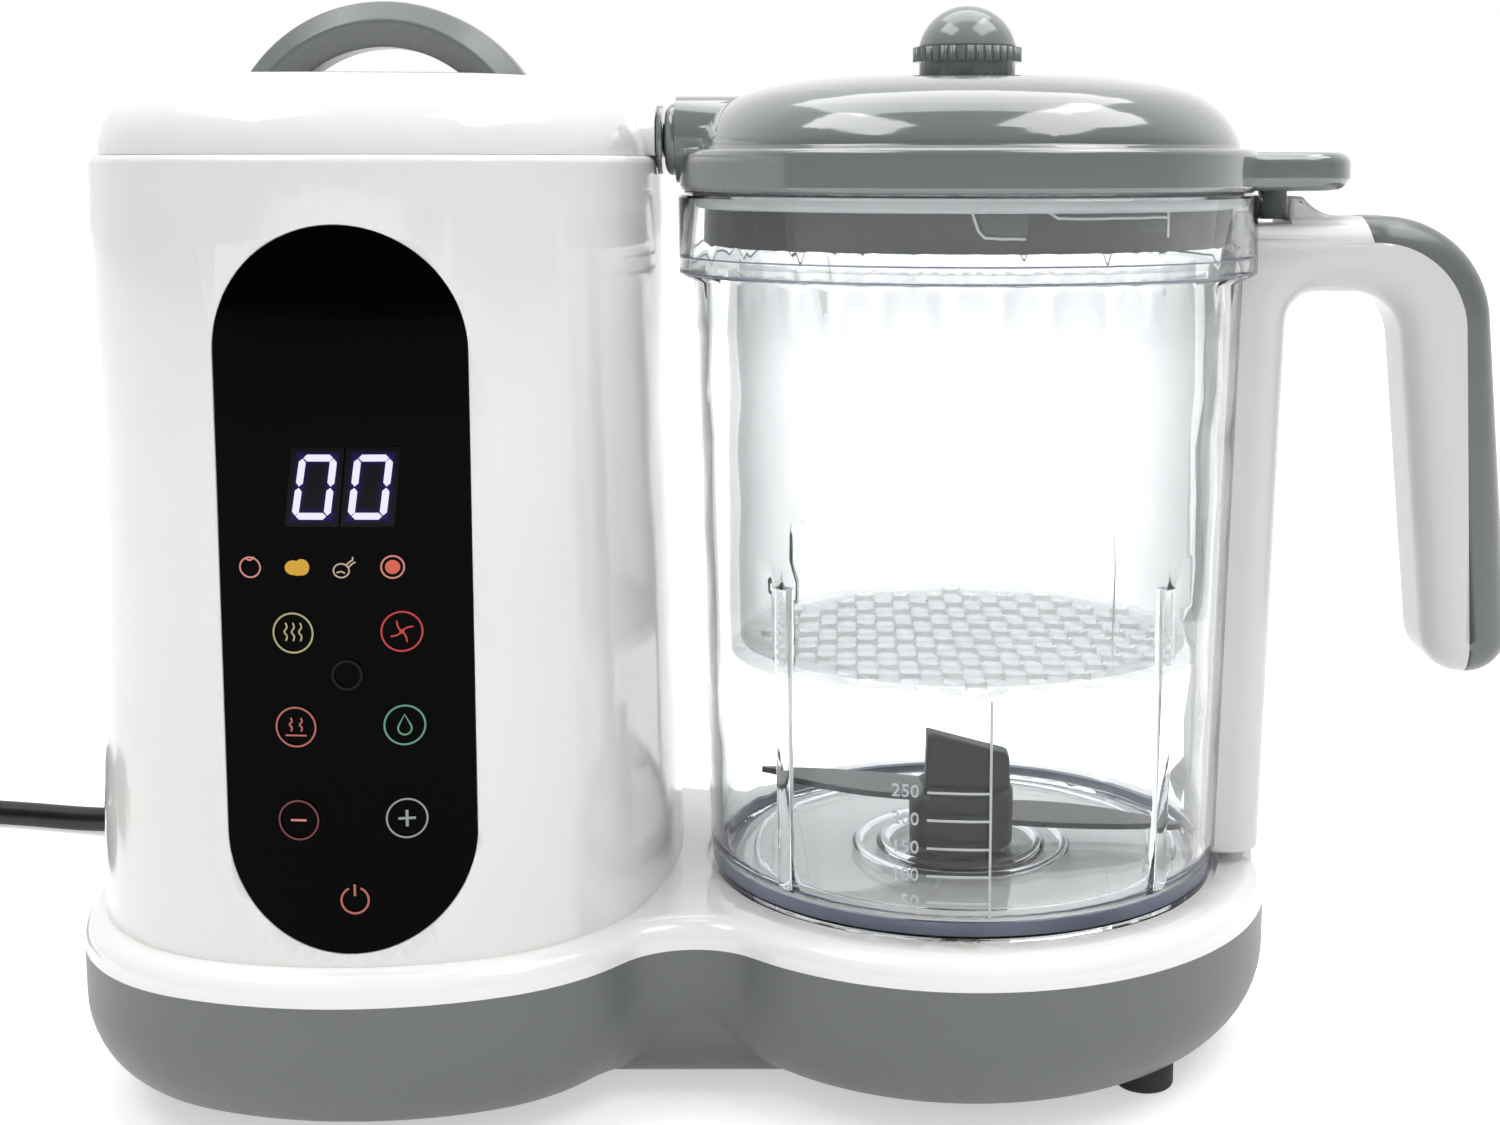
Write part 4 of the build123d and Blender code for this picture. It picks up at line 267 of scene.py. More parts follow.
# nearly black parts: dull edges that only just show their form
hubCharcoal = mouldedPlastic("charcoal glass-filled nylon", ("#2b2c2c", "#272828"), 1.53, (0.34, 0.44),
                             (0.8, 0.001))
blackPlastic = mouldedPlastic("black nylon", ("#1e1e1f", "#19191a"), 1.53, (0.3, 0.42), (0.5, 0.01))
panelBlack = mouldedPlastic("black backed acrylic", ("#030303", "#020202"), 1.49, (0.04, 0.07), (20.0, 0.003))
displayBlack = mouldedPlastic("smoked display filter", ("#15151a", "#101014"), 1.49, (0.1, 0.15),
                              (8.0, 0.004))
for material, specular in ((panelBlack, 0.03), (hubCharcoal, 0.12)):
    material.node_tree.nodes["Principled BSDF"].inputs["Specular IOR Level"].default_value = specular
acetal = mouldedPlastic("natural acetal", ("#e4e3dd", "#dddcd6"), 1.48, (0.3, 0.4), (0.6, 0.008))  # waxy
# the jug: glassy walls; where the eye looks along them, opaque blue-grey bands and lines of painted shade
# stand for their depth
jugClear = clearPlastic("clear copolyester", "#fbfdfe", 1.33, 0.01, 30.0, 0.002)
footPaintedShade = mouldedPlastic("blue-grey depth of a thick clear edge", ("#888ca2", "#4c5064"), 1.5, (0.1, 0.2),
                          (6.0, 0.004))
edgePaintedShade = mouldedPlastic("dark line of a clear wall's edge", ("#8b8fa0", "#686b7b"), 1.5, (0.1, 0.2),
                          (6.0, 0.004))
# the basket: a faint cloud, denser in the thick floor, and pale raised marks on the jug
basketWall = milkyPlastic("clouded copolyester", "#b9bdbe", 0.05, 0.45, 0.15, 0.95)
basketFloor = milkyPlastic("thick clouded copolyester", "#fafbfb", 0.22, 0.5, 0.2)
markFrost = milkyPlastic("moulded frosted relief", "#cdd1d4", 0.85, 0.95, 0.3)
# rubbers: no highlight but a soft sheen along the edges
feetRubber = softRubber("grey-black rubber", ("#3b3d3d", "#333535"), (0.6, 0.75))
beltRubber = softRubber("black neoprene", ("#202021", "#19191a"), (0.55, 0.7))
leadVinyl = softRubber("flexible black PVC", ("#1b1b1c", "#161617"), (0.32, 0.42), 0.4)
silicone = softRubber("translucent silicone", ("#cdd1d2", "#c4c8c9"), (0.3, 0.4))
# metals: streaked mirrors of the room, the scratches drawn coarser than the real ones so that they show
bladeSteel = groundMetal("ground stainless steel", "#3c3e40", (0.2, 0.3), 0.25, (1, 8, 8))
zincSteel = groundMetal("zinc-plated steel", "#a2a4a5", (0.3, 0.42), 0.4, (1, 1, 4))
castAluminium = groundMetal("as-cast aluminium", "#a6a8a9", (0.42, 0.55), 0.8, (1, 1, 1))
brass = groundMetal("turned brass", "#c9a55c", (0.2, 0.3), 0.3, (1, 1, 6))
copper = groundMetal("enamelled copper windings", "#a9623a", (0.25, 0.35), 0.5, (1, 1, 5))
boardGreen = circuitBoard("soldered circuit board")

slotMaterials = {
    "white_plastic": glossyWhite, "clear_plastic": jugClear, "frosted_plastic": basketWall,
    "grey_plastic": lidGrey, "dark_grey_plastic": trimGrey, "hub_plastic": hubCharcoal,
    "black_panel": panelBlack, "black_plastic": blackPlastic, "rubber": feetRubber,
    "silicone": silicone, "steel": bladeSteel, "zinc_steel": zincSteel,
    "cast_aluminium": castAluminium, "brass": brass, "copper": copper, "circuit_board": boardGreen,
    "display": displayBlack, "white_acetal": acetal, "lead_sheath": leadVinyl,
}
ownMaterials = {"base_lower_shell": baseGrey, "drive_belt": beltRubber, "blade_hub": hubCharcoal,
                "handle_frame": satinWhite, "base_deck": deckPaintedLight, "vent_knob_ball": knobPaintedLight,
                "vent_knob_ring": knobPaintedLight}
nodeSlots = {part["node"]: part["material_slot"] for part in frame["record"]["subparts"]}
nodeMaterials = {name: ownMaterials.get(name, slotMaterials[slot]) for name, slot in nodeSlots.items()}
for nodeName, node in nodes.items():
    node.data.materials.clear()
    node.data.materials.append(nodeMaterials[nodeName])
print("materials made:", len(bpy.data.materials))


# helpers for pieces
def addPiece(name, mesh, body, material):
    piece = bpy.data.objects.new(name, mesh)
    bpy.context.scene.collection.objects.link(piece)
    if material:
        mesh.materials.clear()
        mesh.materials.append(material)
    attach(piece, body)
    return piece


def finishMesh(bm, name, sharpAngle=35):
    bmesh.ops.remove_doubles(bm, verts=bm.verts[:], dist=0.002 * mm)
    bmesh.ops.recalc_face_normals(bm, faces=bm.faces[:])
    mesh = bpy.data.meshes.new(name)
    bm.to_mesh(mesh)
    bm.free()
    smoothMesh(mesh, sharpAngle)
    return mesh


def smoothMesh(mesh, sharpAngle):
    for polygon in mesh.polygons:
        polygon.use_smooth = True
    mesh.set_sharp_from_angle(angle=radians(sharpAngle))


def smoothNode(nodeName, pieceName, sharpAngle=30):
    # a smooth-shaded copy of a node's mesh, merged first, that stands for the node
    node = nodes[nodeName]
    bm = bmesh.new()
    bm.from_mesh(node.data)
    bmesh.ops.remove_doubles(bm, verts=bm.verts[:], dist=0.001 * mm)
    mesh = bpy.data.meshes.new(pieceName)
    bm.to_mesh(mesh)
    bm.free()
    smoothMesh(mesh, sharpAngle)
    piece = addPiece(pieceName, mesh, node["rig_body"], nodeMaterials[nodeName])
    # wide faces lead over the roundings beside them
    evenNormals = piece.modifiers.new("evenNormals", "WEIGHTED_NORMAL")
    evenNormals.mode = "FACE_AREA"
    evenNormals.keep_sharp = True
    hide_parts(nodeName)
    return piece


# the mains lead and its put-away coil: one flexible tube, laid first on the floor and then in turns
lead = {
    "radius": 3.25,
    "floorZ": 3.3,
    "exit": (-136.637, 80.344, 19.877),
    "route": ((-146.489, 94.41, 17.8), (-158.989, 105.41, 11.0), (-174.989, 112.91, 5.0),
              (-193.989, 117.51, 3.3), (-213.989, 122.51, 3.3), (-233.489, 125.91, 3.3),
              (-252.989, 125.91, 3.3)),
    "endRun": 6.5,
    "tailRun": 18.5,
    "coilRadius": 40.7,
    "pitch": 6.95,
    "lowerShares": (0, 0.5, 1.0, 1.5, 2.25),
    "upperShares": (2.25, 1.5, 1.0, 0.5),
    "pointsPerHalfTurn": 10,
    "length": 1.016,
}


def coilPoints():
    # the coil's middle line: in along the floor, up a layer in one half turn, and out again
    count = lead["pointsPerHalfTurn"]
    bulge = 1 / cos(pi / count / 2)
    pitch = lead["pitch"]
    start = Vector(lead["route"][-1])
    northX = start.x - lead["endRun"]
    centreY = start.y - lead["coilRadius"]
    low = lead["floorZ"]
    shares = list(zip(lead["lowerShares"], lead["lowerShares"][1:]))
    shares.append((lead["lowerShares"][-1], lead["upperShares"][0]))
    shares += list(zip(lead["upperShares"], lead["upperShares"][1:]))
    climb = len(lead["lowerShares"]) - 1
    points = [Vector((northX, start.y, low))]
    for turn, (first, second) in enumerate(shares):
        radius = lead["coilRadius"] - (first + second) / 2 * pitch
        side = 1 if turn % 2 == 0 else -1
        middleY = centreY + side * (second - first) / 2 * pitch
        for step in range(count):
            angle = pi * (step + 0.5) / count
            height = low + (pitch if turn > climb else 0)
            if turn == climb:
                height = low + pitch / 2 * (1 - cos(angle))
            points.append(Vector((northX - side * radius * bulge * sin(angle),
                                  middleY + side * radius * bulge * cos(angle), height)))
    quarter = lead["coilRadius"] - lead["upperShares"][-1] * pitch / 2
    northY = centreY + lead["coilRadius"] - lead["upperShares"][-1] * pitch
    for step in range(count // 2):
        angle = pi * (step + 0.5) / count
        points.append(Vector((northX - quarter * bulge * sin(angle),
                              northY - quarter + quarter * bulge * cos(angle), low + pitch)))
    points.append(Vector((northX - quarter, northY - quarter, low + pitch)))
    points.append(Vector((northX - quarter, northY - quarter - lead["tailRun"], low + pitch)))
    return points


def leadCord():
    curve = bpy.data.curves.new("leadCord", "CURVE")
    curve.dimensions = "3D"
    spline = curve.splines.new("NURBS")
    points = [Vector(lead["exit"])] + [Vector(point) for point in lead["route"]] + coilPoints()
    spline.points.add(len(points) - 1)
    for target, point in zip(spline.points, points):
        target.co = (*(point * mm), 1)
    spline.order_u = 3
    spline.use_endpoint_u = True
    spline.resolution_u = 6
    curve.bevel_depth = lead["radius"] * mm
    curve.bevel_resolution = 3
    curve.use_fill_caps = True
    cord = bpy.data.objects.new("leadCord", curve)
    curve.materials.append(leadVinyl)
    bpy.context.scene.collection.objects.link(cord)
    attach(cord, "base")
    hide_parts("mains_lead", "mains_lead_coil")
    return cord


# ribbed strain relief where the lead leaves the base
boot = {
    "start": (-121.832, 59.2, 23.0),  # where the lead's line meets the shell's outer wall
    "way": (-0.56942, 0.81322, -0.12012),
    "sleeve": (4.5, -9.0),  # radius, and its depth inside the shell
    "flange": (7.1, 2.4),  # radius and thickness
    "flangeEdge": 0.5,
    "play": 0.05,
    "rootRadius": 5.9,
    "tipRadius": 4.15,
    "length": 26.0,
    "ribs": 7,
    "ribDepth": 0.6,
    "ribShares": (0.6, 0.7, 0.92),  # where a rib's top ends, its foot begins and the foot ends
    "leastWall": 0.3,
    "steps": 40,
}


def leadBoot():
    # sleeve through the wall, flange, and a taper cut into soft ribs, spun about the lead's line
    hole = lead["radius"] + boot["play"]
    sleeveRadius, sleeveEnd = boot["sleeve"]
    flangeRadius, base = boot["flange"]
    edge = boot["flangeEdge"]
    profile = [(hole, sleeveEnd), (sleeveRadius, sleeveEnd), (sleeveRadius, 0), (flangeRadius - edge, 0),
               (flangeRadius, edge), (flangeRadius, base - edge), (flangeRadius - edge, base)]
    pitch = (boot["length"] - base) / boot["ribs"]
    topShare, footShare, endShare = boot["ribShares"]
    for rib in range(boot["ribs"]):
        outer = boot["rootRadius"] + (boot["tipRadius"] - boot["rootRadius"]) * rib / (boot["ribs"] - 1)
        low = base + rib * pitch
        inner = max(outer - boot["ribDepth"], hole + boot["leastWall"])
        profile += [(outer, low + 0.02), (outer, low + topShare * pitch), (inner, low + footShare * pitch),
                    (inner, low + endShare * pitch)]
    profile.append((hole, boot["length"]))
    bm = bmesh.new()
    verts = [bm.verts.new((radius * mm, 0, height * mm)) for radius, height in profile]
    edges = [bm.edges.new(pair) for pair in zip(verts, verts[1:] + verts[:1])]
    bmesh.ops.spin(bm, geom=verts + edges, cent=(0, 0, 0), axis=(0, 0, 1), angle=2 * pi,
                   steps=boot["steps"], use_merge=True)
    turn = Vector(boot["way"]).to_track_quat("Z", "Y").to_matrix().to_4x4()
    place = Matrix.Translation(Vector(boot["start"]) * mm) @ turn
    bmesh.ops.transform(bm, verts=bm.verts[:], matrix=place)
    piece = addPiece("leadBoot", finishMesh(bm, "leadBoot", 30), "base", leadVinyl)
    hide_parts("cord_gland")
    return piece


cord = leadCord()
plugBody = smoothNode("plug_body", "plugBody", 40)
leadBoot()
print("lead laid")

# smooth copies of the pieces with curved faces that show
smoothPieces = {
    "base_lower_shell": "lowerShell", "base_deck": "deck", "rubber_feet": "feet", "tower_shell": "towerShell",
    "tank_lid": "tankLid", "arch_handle": "archHandle", "steam_nozzle": "steamNozzle",
    "water_tank": "waterTank", "tank_bay": "tankBay", "jug_vessel": "jugWall",
    "handle_frame": "handleFrame", "handle_cover": "handleCover", "steam_basket": "basketShell",
    "blade_hub": "bladeHub", "upper_blade": "upperBlade", "lower_blade": "lowerBlade",
    "lid_shell": "lidShell", "lid_seal": "lidSeal", "lid_inlet_ring": "inletRing",
    "vent_knob_ring": "knobRing", "vent_knob_ball": "knobBall", "blade_spindle": "spindle",
    "spindle_bush": "spindleBush", "drive_coupler": "driveCoupler", "spindle_seal": "spindleSeal",
}
dressed = {nodeName: smoothNode(nodeName, pieceName) for nodeName, pieceName in smoothPieces.items()}
print("smooth copies made:", len(dressed))

# the lid's skirt, deep in the jug's clear collar, gets a darker grey: painted shade
skirt = {"top": 136.1, "radius": 53.2}
lidMesh = dressed["lid_shell"].data
lidMesh.materials.append(skirtPaintedShade)
for polygon in lidMesh.polygons:
    centre = polygon.center
    within = hypot(centre.x - jugX, centre.y) < skirt["radius"] * mm
    if within and centre.z < deckTop + skirt["top"] * mm:
        polygon.material_index = 1

# the basket's floor is thicker and cloudier than its wall
basketFloorHeight = 3.0
basketMesh = dressed["steam_basket"].data
basketMesh.materials.append(basketFloor)
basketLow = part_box("steam_basket")[0].z
for polygon in basketMesh.polygons:
    if polygon.center.z < basketLow + basketFloorHeight * mm:
        polygon.material_index = 1


# the touch panel: a black plate that follows the tower's curved and leaning front, with lit marks
panelLow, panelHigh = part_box("control_panel")
panel = {
    "middleX": (panelLow.x + panelHigh.x) / 2,
    "halfWidth": (panelHigh.x - panelLow.x) / 2,
    "proud": 0.3,
    "rim": 0.7,
    "rimDrop": 0.45,
    "thickness": 1.2,
    "segments": 90,
    "cuts": 34,
    "towerHalfWidth": 64.9,
    "towerRadius": 82.0,
    "towerDrawIn": 3.5,
    "towerHeight": 143.9,
}


def frontY(x, z, proud):
    # the tower's front at a place, in metres
    grow = proud - panel["towerDrawIn"] * (z - deckTop) / mm / panel["towerHeight"]
    radius = panel["towerRadius"] + grow
    across = (x - towerX) / mm
    return -(panel["towerHalfWidth"] + grow - radius + sqrt(radius ** 2 - across ** 2)) * mm


def cutUpright(bm, halfWidth, count, middle):
    # upright cuts, between which a flat shape can follow the front's curve
    for step in range(1, count):
        at = middle - halfWidth + 2 * halfWidth * step / count
        bmesh.ops.bisect_plane(bm, geom=bm.verts[:] + bm.edges[:] + bm.faces[:], dist=0.0001 * mm,
                               plane_co=(at, 0, 0), plane_no=(1, 0, 0))


def bendToFront(bm, proud):
    for vert in bm.verts:
        vert.co.y += frontY(vert.co.x, vert.co.z, proud)


def panelPlate():
    bm = bmesh.new()
    radius = panel["halfWidth"]
    turn = Matrix.Rotation(pi / 2, 4, "X") @ Matrix.Rotation(pi / panel["segments"], 4, "Z")
    bmesh.ops.create_circle(bm, cap_ends=True, segments=panel["segments"], radius=radius, matrix=turn)
    middle = (panelLow.z + panelHigh.z) / 2
    straight = (panelHigh.z - panelLow.z) / 2 - radius
    for vert in bm.verts:
        vert.co.z += middle + (straight if vert.co.z > 0 else -straight)
        vert.co.x += panel["middleX"]
    bmesh.ops.recalc_face_normals(bm, faces=bm.faces[:])
    if bm.faces[:][0].normal.y > 0:
        bmesh.ops.reverse_faces(bm, faces=bm.faces[:])
    face = bm.faces[:][0]
    outer = list(face.verts)
    edges = list(face.edges)
    bmesh.ops.inset_region(bm, faces=[face], thickness=panel["rim"] * mm, depth=0)
    for vert in outer:
        vert.co.y += panel["rimDrop"] * mm
    boundary = [edge for edge in bm.edges if edge.is_boundary]
    wall = bmesh.ops.extrude_edge_only(bm, edges=boundary)
    for item in wall["geom"]:
        if isinstance(item, bmesh.types.BMVert):
            item.co.y += panel["thickness"] * mm
    cutUpright(bm, radius, panel["cuts"], panel["middleX"])
    bendToFront(bm, panel["proud"])
    bmesh.ops.recalc_face_normals(bm, faces=bm.faces[:])
    front = min(bm.faces, key=lambda f: f.calc_center_median().y)
    if front.normal.y > 0:
        bmesh.ops.reverse_faces(bm, faces=bm.faces[:])
    piece = addPiece("panelPlate", finishMesh(bm, "panelPlate", 25), "base", panelBlack)
    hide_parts("control_panel")


panelPlate()
print("panel plate made")


# marks drawn as thin strokes or filled shapes, flat at first and then laid on a curved face
def ringPath(x, z, radius, start=0.0, end=360.0, squash=1.0):
    count = max(6, int((end - start) / 9))
    whole = end - start >= 360
    steps = [start + (end - start) * step / count for step in range(count if whole else count + 1)]
    path = [(x + radius * cos(radians(angle)), z + radius * squash * sin(radians(angle)))
            for angle in steps]
    return path + path[:1] if whole else path


def strokeMesh(paths, width, smooth=False):
    # round strokes along paths of x and z in millimetres; a path that ends where it began is closed
    curve = bpy.data.curves.new("strokes", "CURVE")
    curve.dimensions = "3D"
    curve.bevel_depth = width / 2 * mm
    curve.bevel_resolution = 1
    curve.use_fill_caps = True
    for path in paths:
        closed = path[0] == path[-1]
        points = path[:-1] if closed else path
        spline = curve.splines.new("NURBS" if smooth else "POLY")
        spline.points.add(len(points) - 1)
        for target, (x, z) in zip(spline.points, points):
            target.co = (x * mm, 0, z * mm, 1)
        spline.use_cyclic_u = closed
        if smooth:
            spline.order_u = 3
            spline.use_endpoint_u = True
            spline.resolution_u = 6
    holder = bpy.data.objects.new("strokes", curve)
    mesh = bpy.data.meshes.new_from_object(holder)
    bpy.data.objects.remove(holder)
    bpy.data.curves.remove(curve)
    return mesh


def addStrokes(bm, paths, width, smooth=False):
    mesh = strokeMesh(paths, width, smooth)
    bm.from_mesh(mesh)
    bpy.data.meshes.remove(mesh)


def addBlob(bm, x, z, radiusX, radiusZ, thickness):
    # a filled round mark with a little thickness
    place = (Matrix.Translation((x * mm, 0, z * mm)) @ Matrix.Diagonal((radiusX, 1, radiusZ, 1))
             @ Matrix.Rotation(pi / 2, 4, "X"))
    made = bmesh.ops.create_circle(bm, cap_ends=True, segments=28, radius=mm, matrix=place)
    face = made["verts"][0].link_faces[0]
    raised = bmesh.ops.extrude_face_region(bm, geom=[face])
    for item in raised["geom"]:
        if isinstance(item, bmesh.types.BMVert):
            item.co.y -= thickness * mm


def addSegment(bm, start, end, width, gap, thickness):
    # a bar of a lit digit, pointed at both ends
    first, last = Vector((start[0], 0, start[1])), Vector((end[0], 0, end[1]))
    along = (last - first).normalized()
    across = Vector((along.z, 0, -along.x)) * (width / 2)
    first += along * gap
    last -= along * gap
    corners = [first, first + along * (width / 2) + across, last - along * (width / 2) + across, last,
               last - along * (width / 2) - across, first + along * (width / 2) - across]
    face = bm.faces.new([bm.verts.new(corner * mm) for corner in corners])
    raised = bmesh.ops.extrude_face_region(bm, geom=[face])
    for item in raised["geom"]:
        if isinstance(item, bmesh.types.BMVert):
            item.co.y -= thickness * mm


def layOnPanel(bm, flatten=0.2):
    # from a flat drawing, about the panel's middle and the deck, to the panel's own face
    for vert in bm.verts:
        vert.co.x += panel["middleX"]
        vert.co.z += deckTop
        vert.co.y *= flatten
    bendToFront(bm, panel["proud"] + panelMarks["lift"])


def panelPiece(name, bm, material, flatten=0.2):
    layOnPanel(bm, flatten)
    return addPiece(name, finishMesh(bm, name, 40), "base", material)


panelMarks = {
    "lift": 0.02,
    "digits": (((-6.09, 91.8), (-0.71, 91.8), (-7.81, 81.6), (-2.2, 81.6)),
               ((3.4, 91.75), (8.81, 91.7), (1.93, 81.6), (7.38, 81.5))),
    "barWidth": 1.2,
    "barGap": 0.12,
    "barThickness": 0.3,
    "haloThickness": 0.02,
    "haloLoops": ((1.9, 0.0), (1.3, 0.12), (0.7, 0.6), (0.0, 1.0), (-0.8, 0.5), (-1.6, 0.12)),
}


def blend(first, second, share):
    return tuple(a + (b - a) * share for a, b in zip(first, second))


def digitBars(corners):
    topLeft, topRight, lowLeft, lowRight = corners
    middleLeft, middleRight = blend(topLeft, lowLeft, 0.5), blend(topRight, lowRight, 0.5)
    return ((topLeft, topRight), (lowLeft, lowRight), (topLeft, middleLeft), (middleLeft, lowLeft),
            (topRight, middleRight), (middleRight, lowRight))


def litDigits():
    bars = bmesh.new()
    halo = bmesh.new()
    spread = halo.verts.layers.float.new("glow")
    for corners in panelMarks["digits"]:
        for start, end in digitBars(corners):
            addSegment(bars, start, end, panelMarks["barWidth"], panelMarks["barGap"],
                       panelMarks["barThickness"])
        middle = Vector([sum(corner[axis] for corner in corners) / 4 for axis in (0, 1)])
        loops = []
        for outwards, glow in panelMarks["haloLoops"]:
            loop = []
            for corner in (corners[0], corners[1], corners[3], corners[2]):
                away = Vector(corner) - middle
                place = (corner[0] + outwards * (1 if away.x > 0 else -1), 0,
                         corner[1] + outwards * (1 if away.y > 0 else -1))
                vert = halo.verts.new([value * mm for value in place])
                vert[spread] = glow
                loop.append(vert)
            loops.append(loop)
        for outer, inner in zip(loops, loops[1:]):
            for step in range(len(outer)):
                after = (step + 1) % len(outer)
                halo.faces.new((outer[step], outer[after], inner[after], inner[step]))
        halo.faces.new(loops[-1])
    panelPiece("digitBars", bars, litDigit)
    raised = bmesh.ops.extrude_face_region(halo, geom=halo.faces[:])
    for item in raised["geom"]:
        if isinstance(item, bmesh.types.BMVert):
            item.co.y -= panelMarks["haloThickness"] * mm
    panelPiece("digitHalo", halo, litViolet, 1.0)


litDigit = litInk("lilac-white display segments", "#f1ecff", 1.0)
litViolet = litHalo("violet glow in the panel's face", "#2a1c80", 0.4)
litDigits()
print("digits lit")

inks = {
    "beige": litInk("beige lit ink", "#c9b49a", 0.9),
    "cream": litInk("cream lit ink", "#b9b386", 0.85),
    "amber": litInk("amber lit ink", "#d9ab3c", 0.9),
    "red": litInk("red lit ink", "#c4474a", 0.9),
    "coral": litInk("coral lit ink", "#de6a55", 0.9),
    "pink": litInk("pink lit ink", "#d98f84", 0.9),
    "salmon": litInk("salmon lit ink", "#bb6f62", 0.9),
    "green": litInk("pale green lit ink", "#6fa489", 0.85),
    "rose": litInk("dull rose lit ink", "#7c4648", 0.9),
    "silver": litInk("silver lit ink", "#9aa0a3", 0.9),
    "dim": litInk("unlit sensor ring", "#141618", 0.9),
}


def droplet(size):
    # a drop's outline, from its tip round and back
    wide = size * 0.62
    belly = [(wide * cos(radians(angle)), wide * sin(radians(angle)) - size * 0.3)
             for angle in range(20, -201, -22)]
    return [(0, size)] + belly + [(0, size)]


def wave(x, z, height, sway):
    # rising steam: a soft line through five points, the middle three swaying
    return [(x + aside, z - height / 2 + height * step / 4)
            for step, aside in enumerate((0, sway, -sway, sway, 0))]


def bladeArm(turn):
    # one curved arm of the four-armed blade sign
    return [(0, 0), (0.9 * cos(turn) - 0.5 * sin(turn), 0.9 * sin(turn) + 0.5 * cos(turn)),
            (2.1 * cos(turn), 2.1 * sin(turn))]


# the signs' middles, from the panel's middle line and the deck
signSpots = {
    "steam": (-8.81, 60.9), "chop": (10.1, 61.0), "warm": (-8.8, 44.05), "rinse": (10.2, 44.2),
    "less": (-8.8, 27.2), "more": (10.2, 27.3), "power": (0.8, 12.6), "sensor": (0.5, 53.4),
    "fruit": (-16.2, 72.5), "root": (-7.7, 72.5), "meat": (0.0, 72.5), "fish": (8.8, 72.5),
}
ringInks = {"steam": "cream", "chop": "red", "warm": "salmon", "rinse": "green", "less": "rose",
            "more": "silver"}
strokeWidths = {"ring": 0.36, "symbol": 0.34, "thin": 0.306, "sign": 0.42, "bold": 0.504, "sensor": 0.54}
ringRadius = 3.5

# each sign: its spot, ink and stroke, and about its middle the straight or round strokes, the soft
# strokes, and the filled shapes with their middle, two radii and thickness
signs = {name + "Ring": (name, ink, "ring", [ringPath(0, 0, ringRadius)], (), ())
         for name, ink in ringInks.items()}
signs.update({
    "steamSign": ("steam", "cream", "symbol", (), [wave(x, 0.2, 3.2, 0.45) for x in (-1.3, 0, 1.3)], ()),
    "chopSign": ("chop", "red", "symbol", (), [bladeArm(0.4 + quarter * pi / 2) for quarter in range(4)],
                 [(0, 0, 0.42, 0.42, 0.2)]),
    "warmSign": ("warm", "salmon", "symbol", [[(-1.9, -1.5), (1.9, -1.5)]],
                 [wave(x, 0.45, 2.4, 0.42) for x in (-0.9, 0.9)], ()),
    "rinseSign": ("rinse", "green", "symbol", [droplet(1.9)], (), ()),
    "lessSign": ("less", "pink", "sign", [[(-1.4, 0), (1.4, 0)]], (), ()),
    "moreSign": ("more", "silver", "bold", [[(-1.5, 0), (1.5, 0)], [(0, -1.5), (0, 1.5)]], (), ()),
    "powerSign": ("power", "salmon", "sign", [ringPath(0, 0, 2.4, -245, 65), [(0, 0.8), (0, 2.9)]], (), ()),
    "sensorRing": ("sensor", "dim", "sensor", [ringPath(0, 0, 2.5)], (), ()),
    "fruitSign": ("fruit", "pink", "symbol", [ringPath(0, -0.1, 1.85, squash=0.95)],
                  [[(-0.7, 1.55), (0, 0.7), (0.8, 1.75)]], ()),
    "rootSign": ("root", "amber", "symbol", (), (),
                 [(-0.7, 0, 1.5, 1.3, 0.2), (0.8, 0.1, 1.35, 1.45, 0.2), (0, -0.2, 1.4, 1.2, 0.2)]),
    "meatSign": ("meat", "beige", "thin", [ringPath(0, -0.5, 1.35, squash=0.9)],
                 [[(0.9, 0.5), (1.6, 1.2), (2.1, 1.3), (2.0, 1.9)], [(1.3, 0.1), (1.9, 0.8), (2.5, 1.0)],
                  [(-0.8, -0.9), (0, -0.4), (0.6, -1.0)]], ()),
    "fishRing": ("fish", "pink", "symbol", [ringPath(0, 0, 1.95)], (), ()),
    "fishSign": ("fish", "coral", "symbol", (), (), [(0, 0, 1.3, 1.25, 0.2)]),
})


def panelSigns():
    for name, (spot, ink, stroke, paths, softPaths, blobs) in signs.items():
        x, z = signSpots[spot]
        bm = bmesh.new()
        for group, smooth in ((paths, False), (softPaths, True)):
            if group:
                moved = [[(x + across, z + up) for across, up in path] for path in group]
                addStrokes(bm, moved, strokeWidths[stroke], smooth)
        for across, up, radiusX, radiusZ, thickness in blobs:
            addBlob(bm, x + across, z + up, radiusX, radiusZ, thickness)
        panelPiece(name, bm, inks[ink])


panelSigns()
print("panel signs made")


# raised scale on the front of the jug: a line, ticks and plain numbers of millilitres
scale = {
    "lineX": 2.1,
    "lineLow": 4.6,
    "lineHigh": 45.7,
    "ticks": ((28.3, "250"), (23.0, "200"), (17.6, "150"), (12.3, "100"), (7.2, "50")),
    "tickLength": 11.6,
    "width": 0.5,
    "flatten": 0.8,
    "numberSize": 3.4,
    "numberGap": 1.4,
    "numberThickness": 0.3,
}
jugOutside = {"low": 4.2, "high": 121.0, "lowRadius": 52.4, "widening": 2.6}


def jugRadius(height):
    # the jug's outer wall, in millimetres above the deck
    share = (height - jugOutside["low"]) / (jugOutside["high"] - jugOutside["low"])
    return jugOutside["lowRadius"] + share * jugOutside["widening"]


def layOnJug(bm, flatten):
    for vert in bm.verts:
        x, z = vert.co.x / mm, vert.co.z / mm
        vert.co.y = vert.co.y * flatten - sqrt(jugRadius(z) ** 2 - x ** 2) * mm
        vert.co.x += jugX
        vert.co.z += deckTop


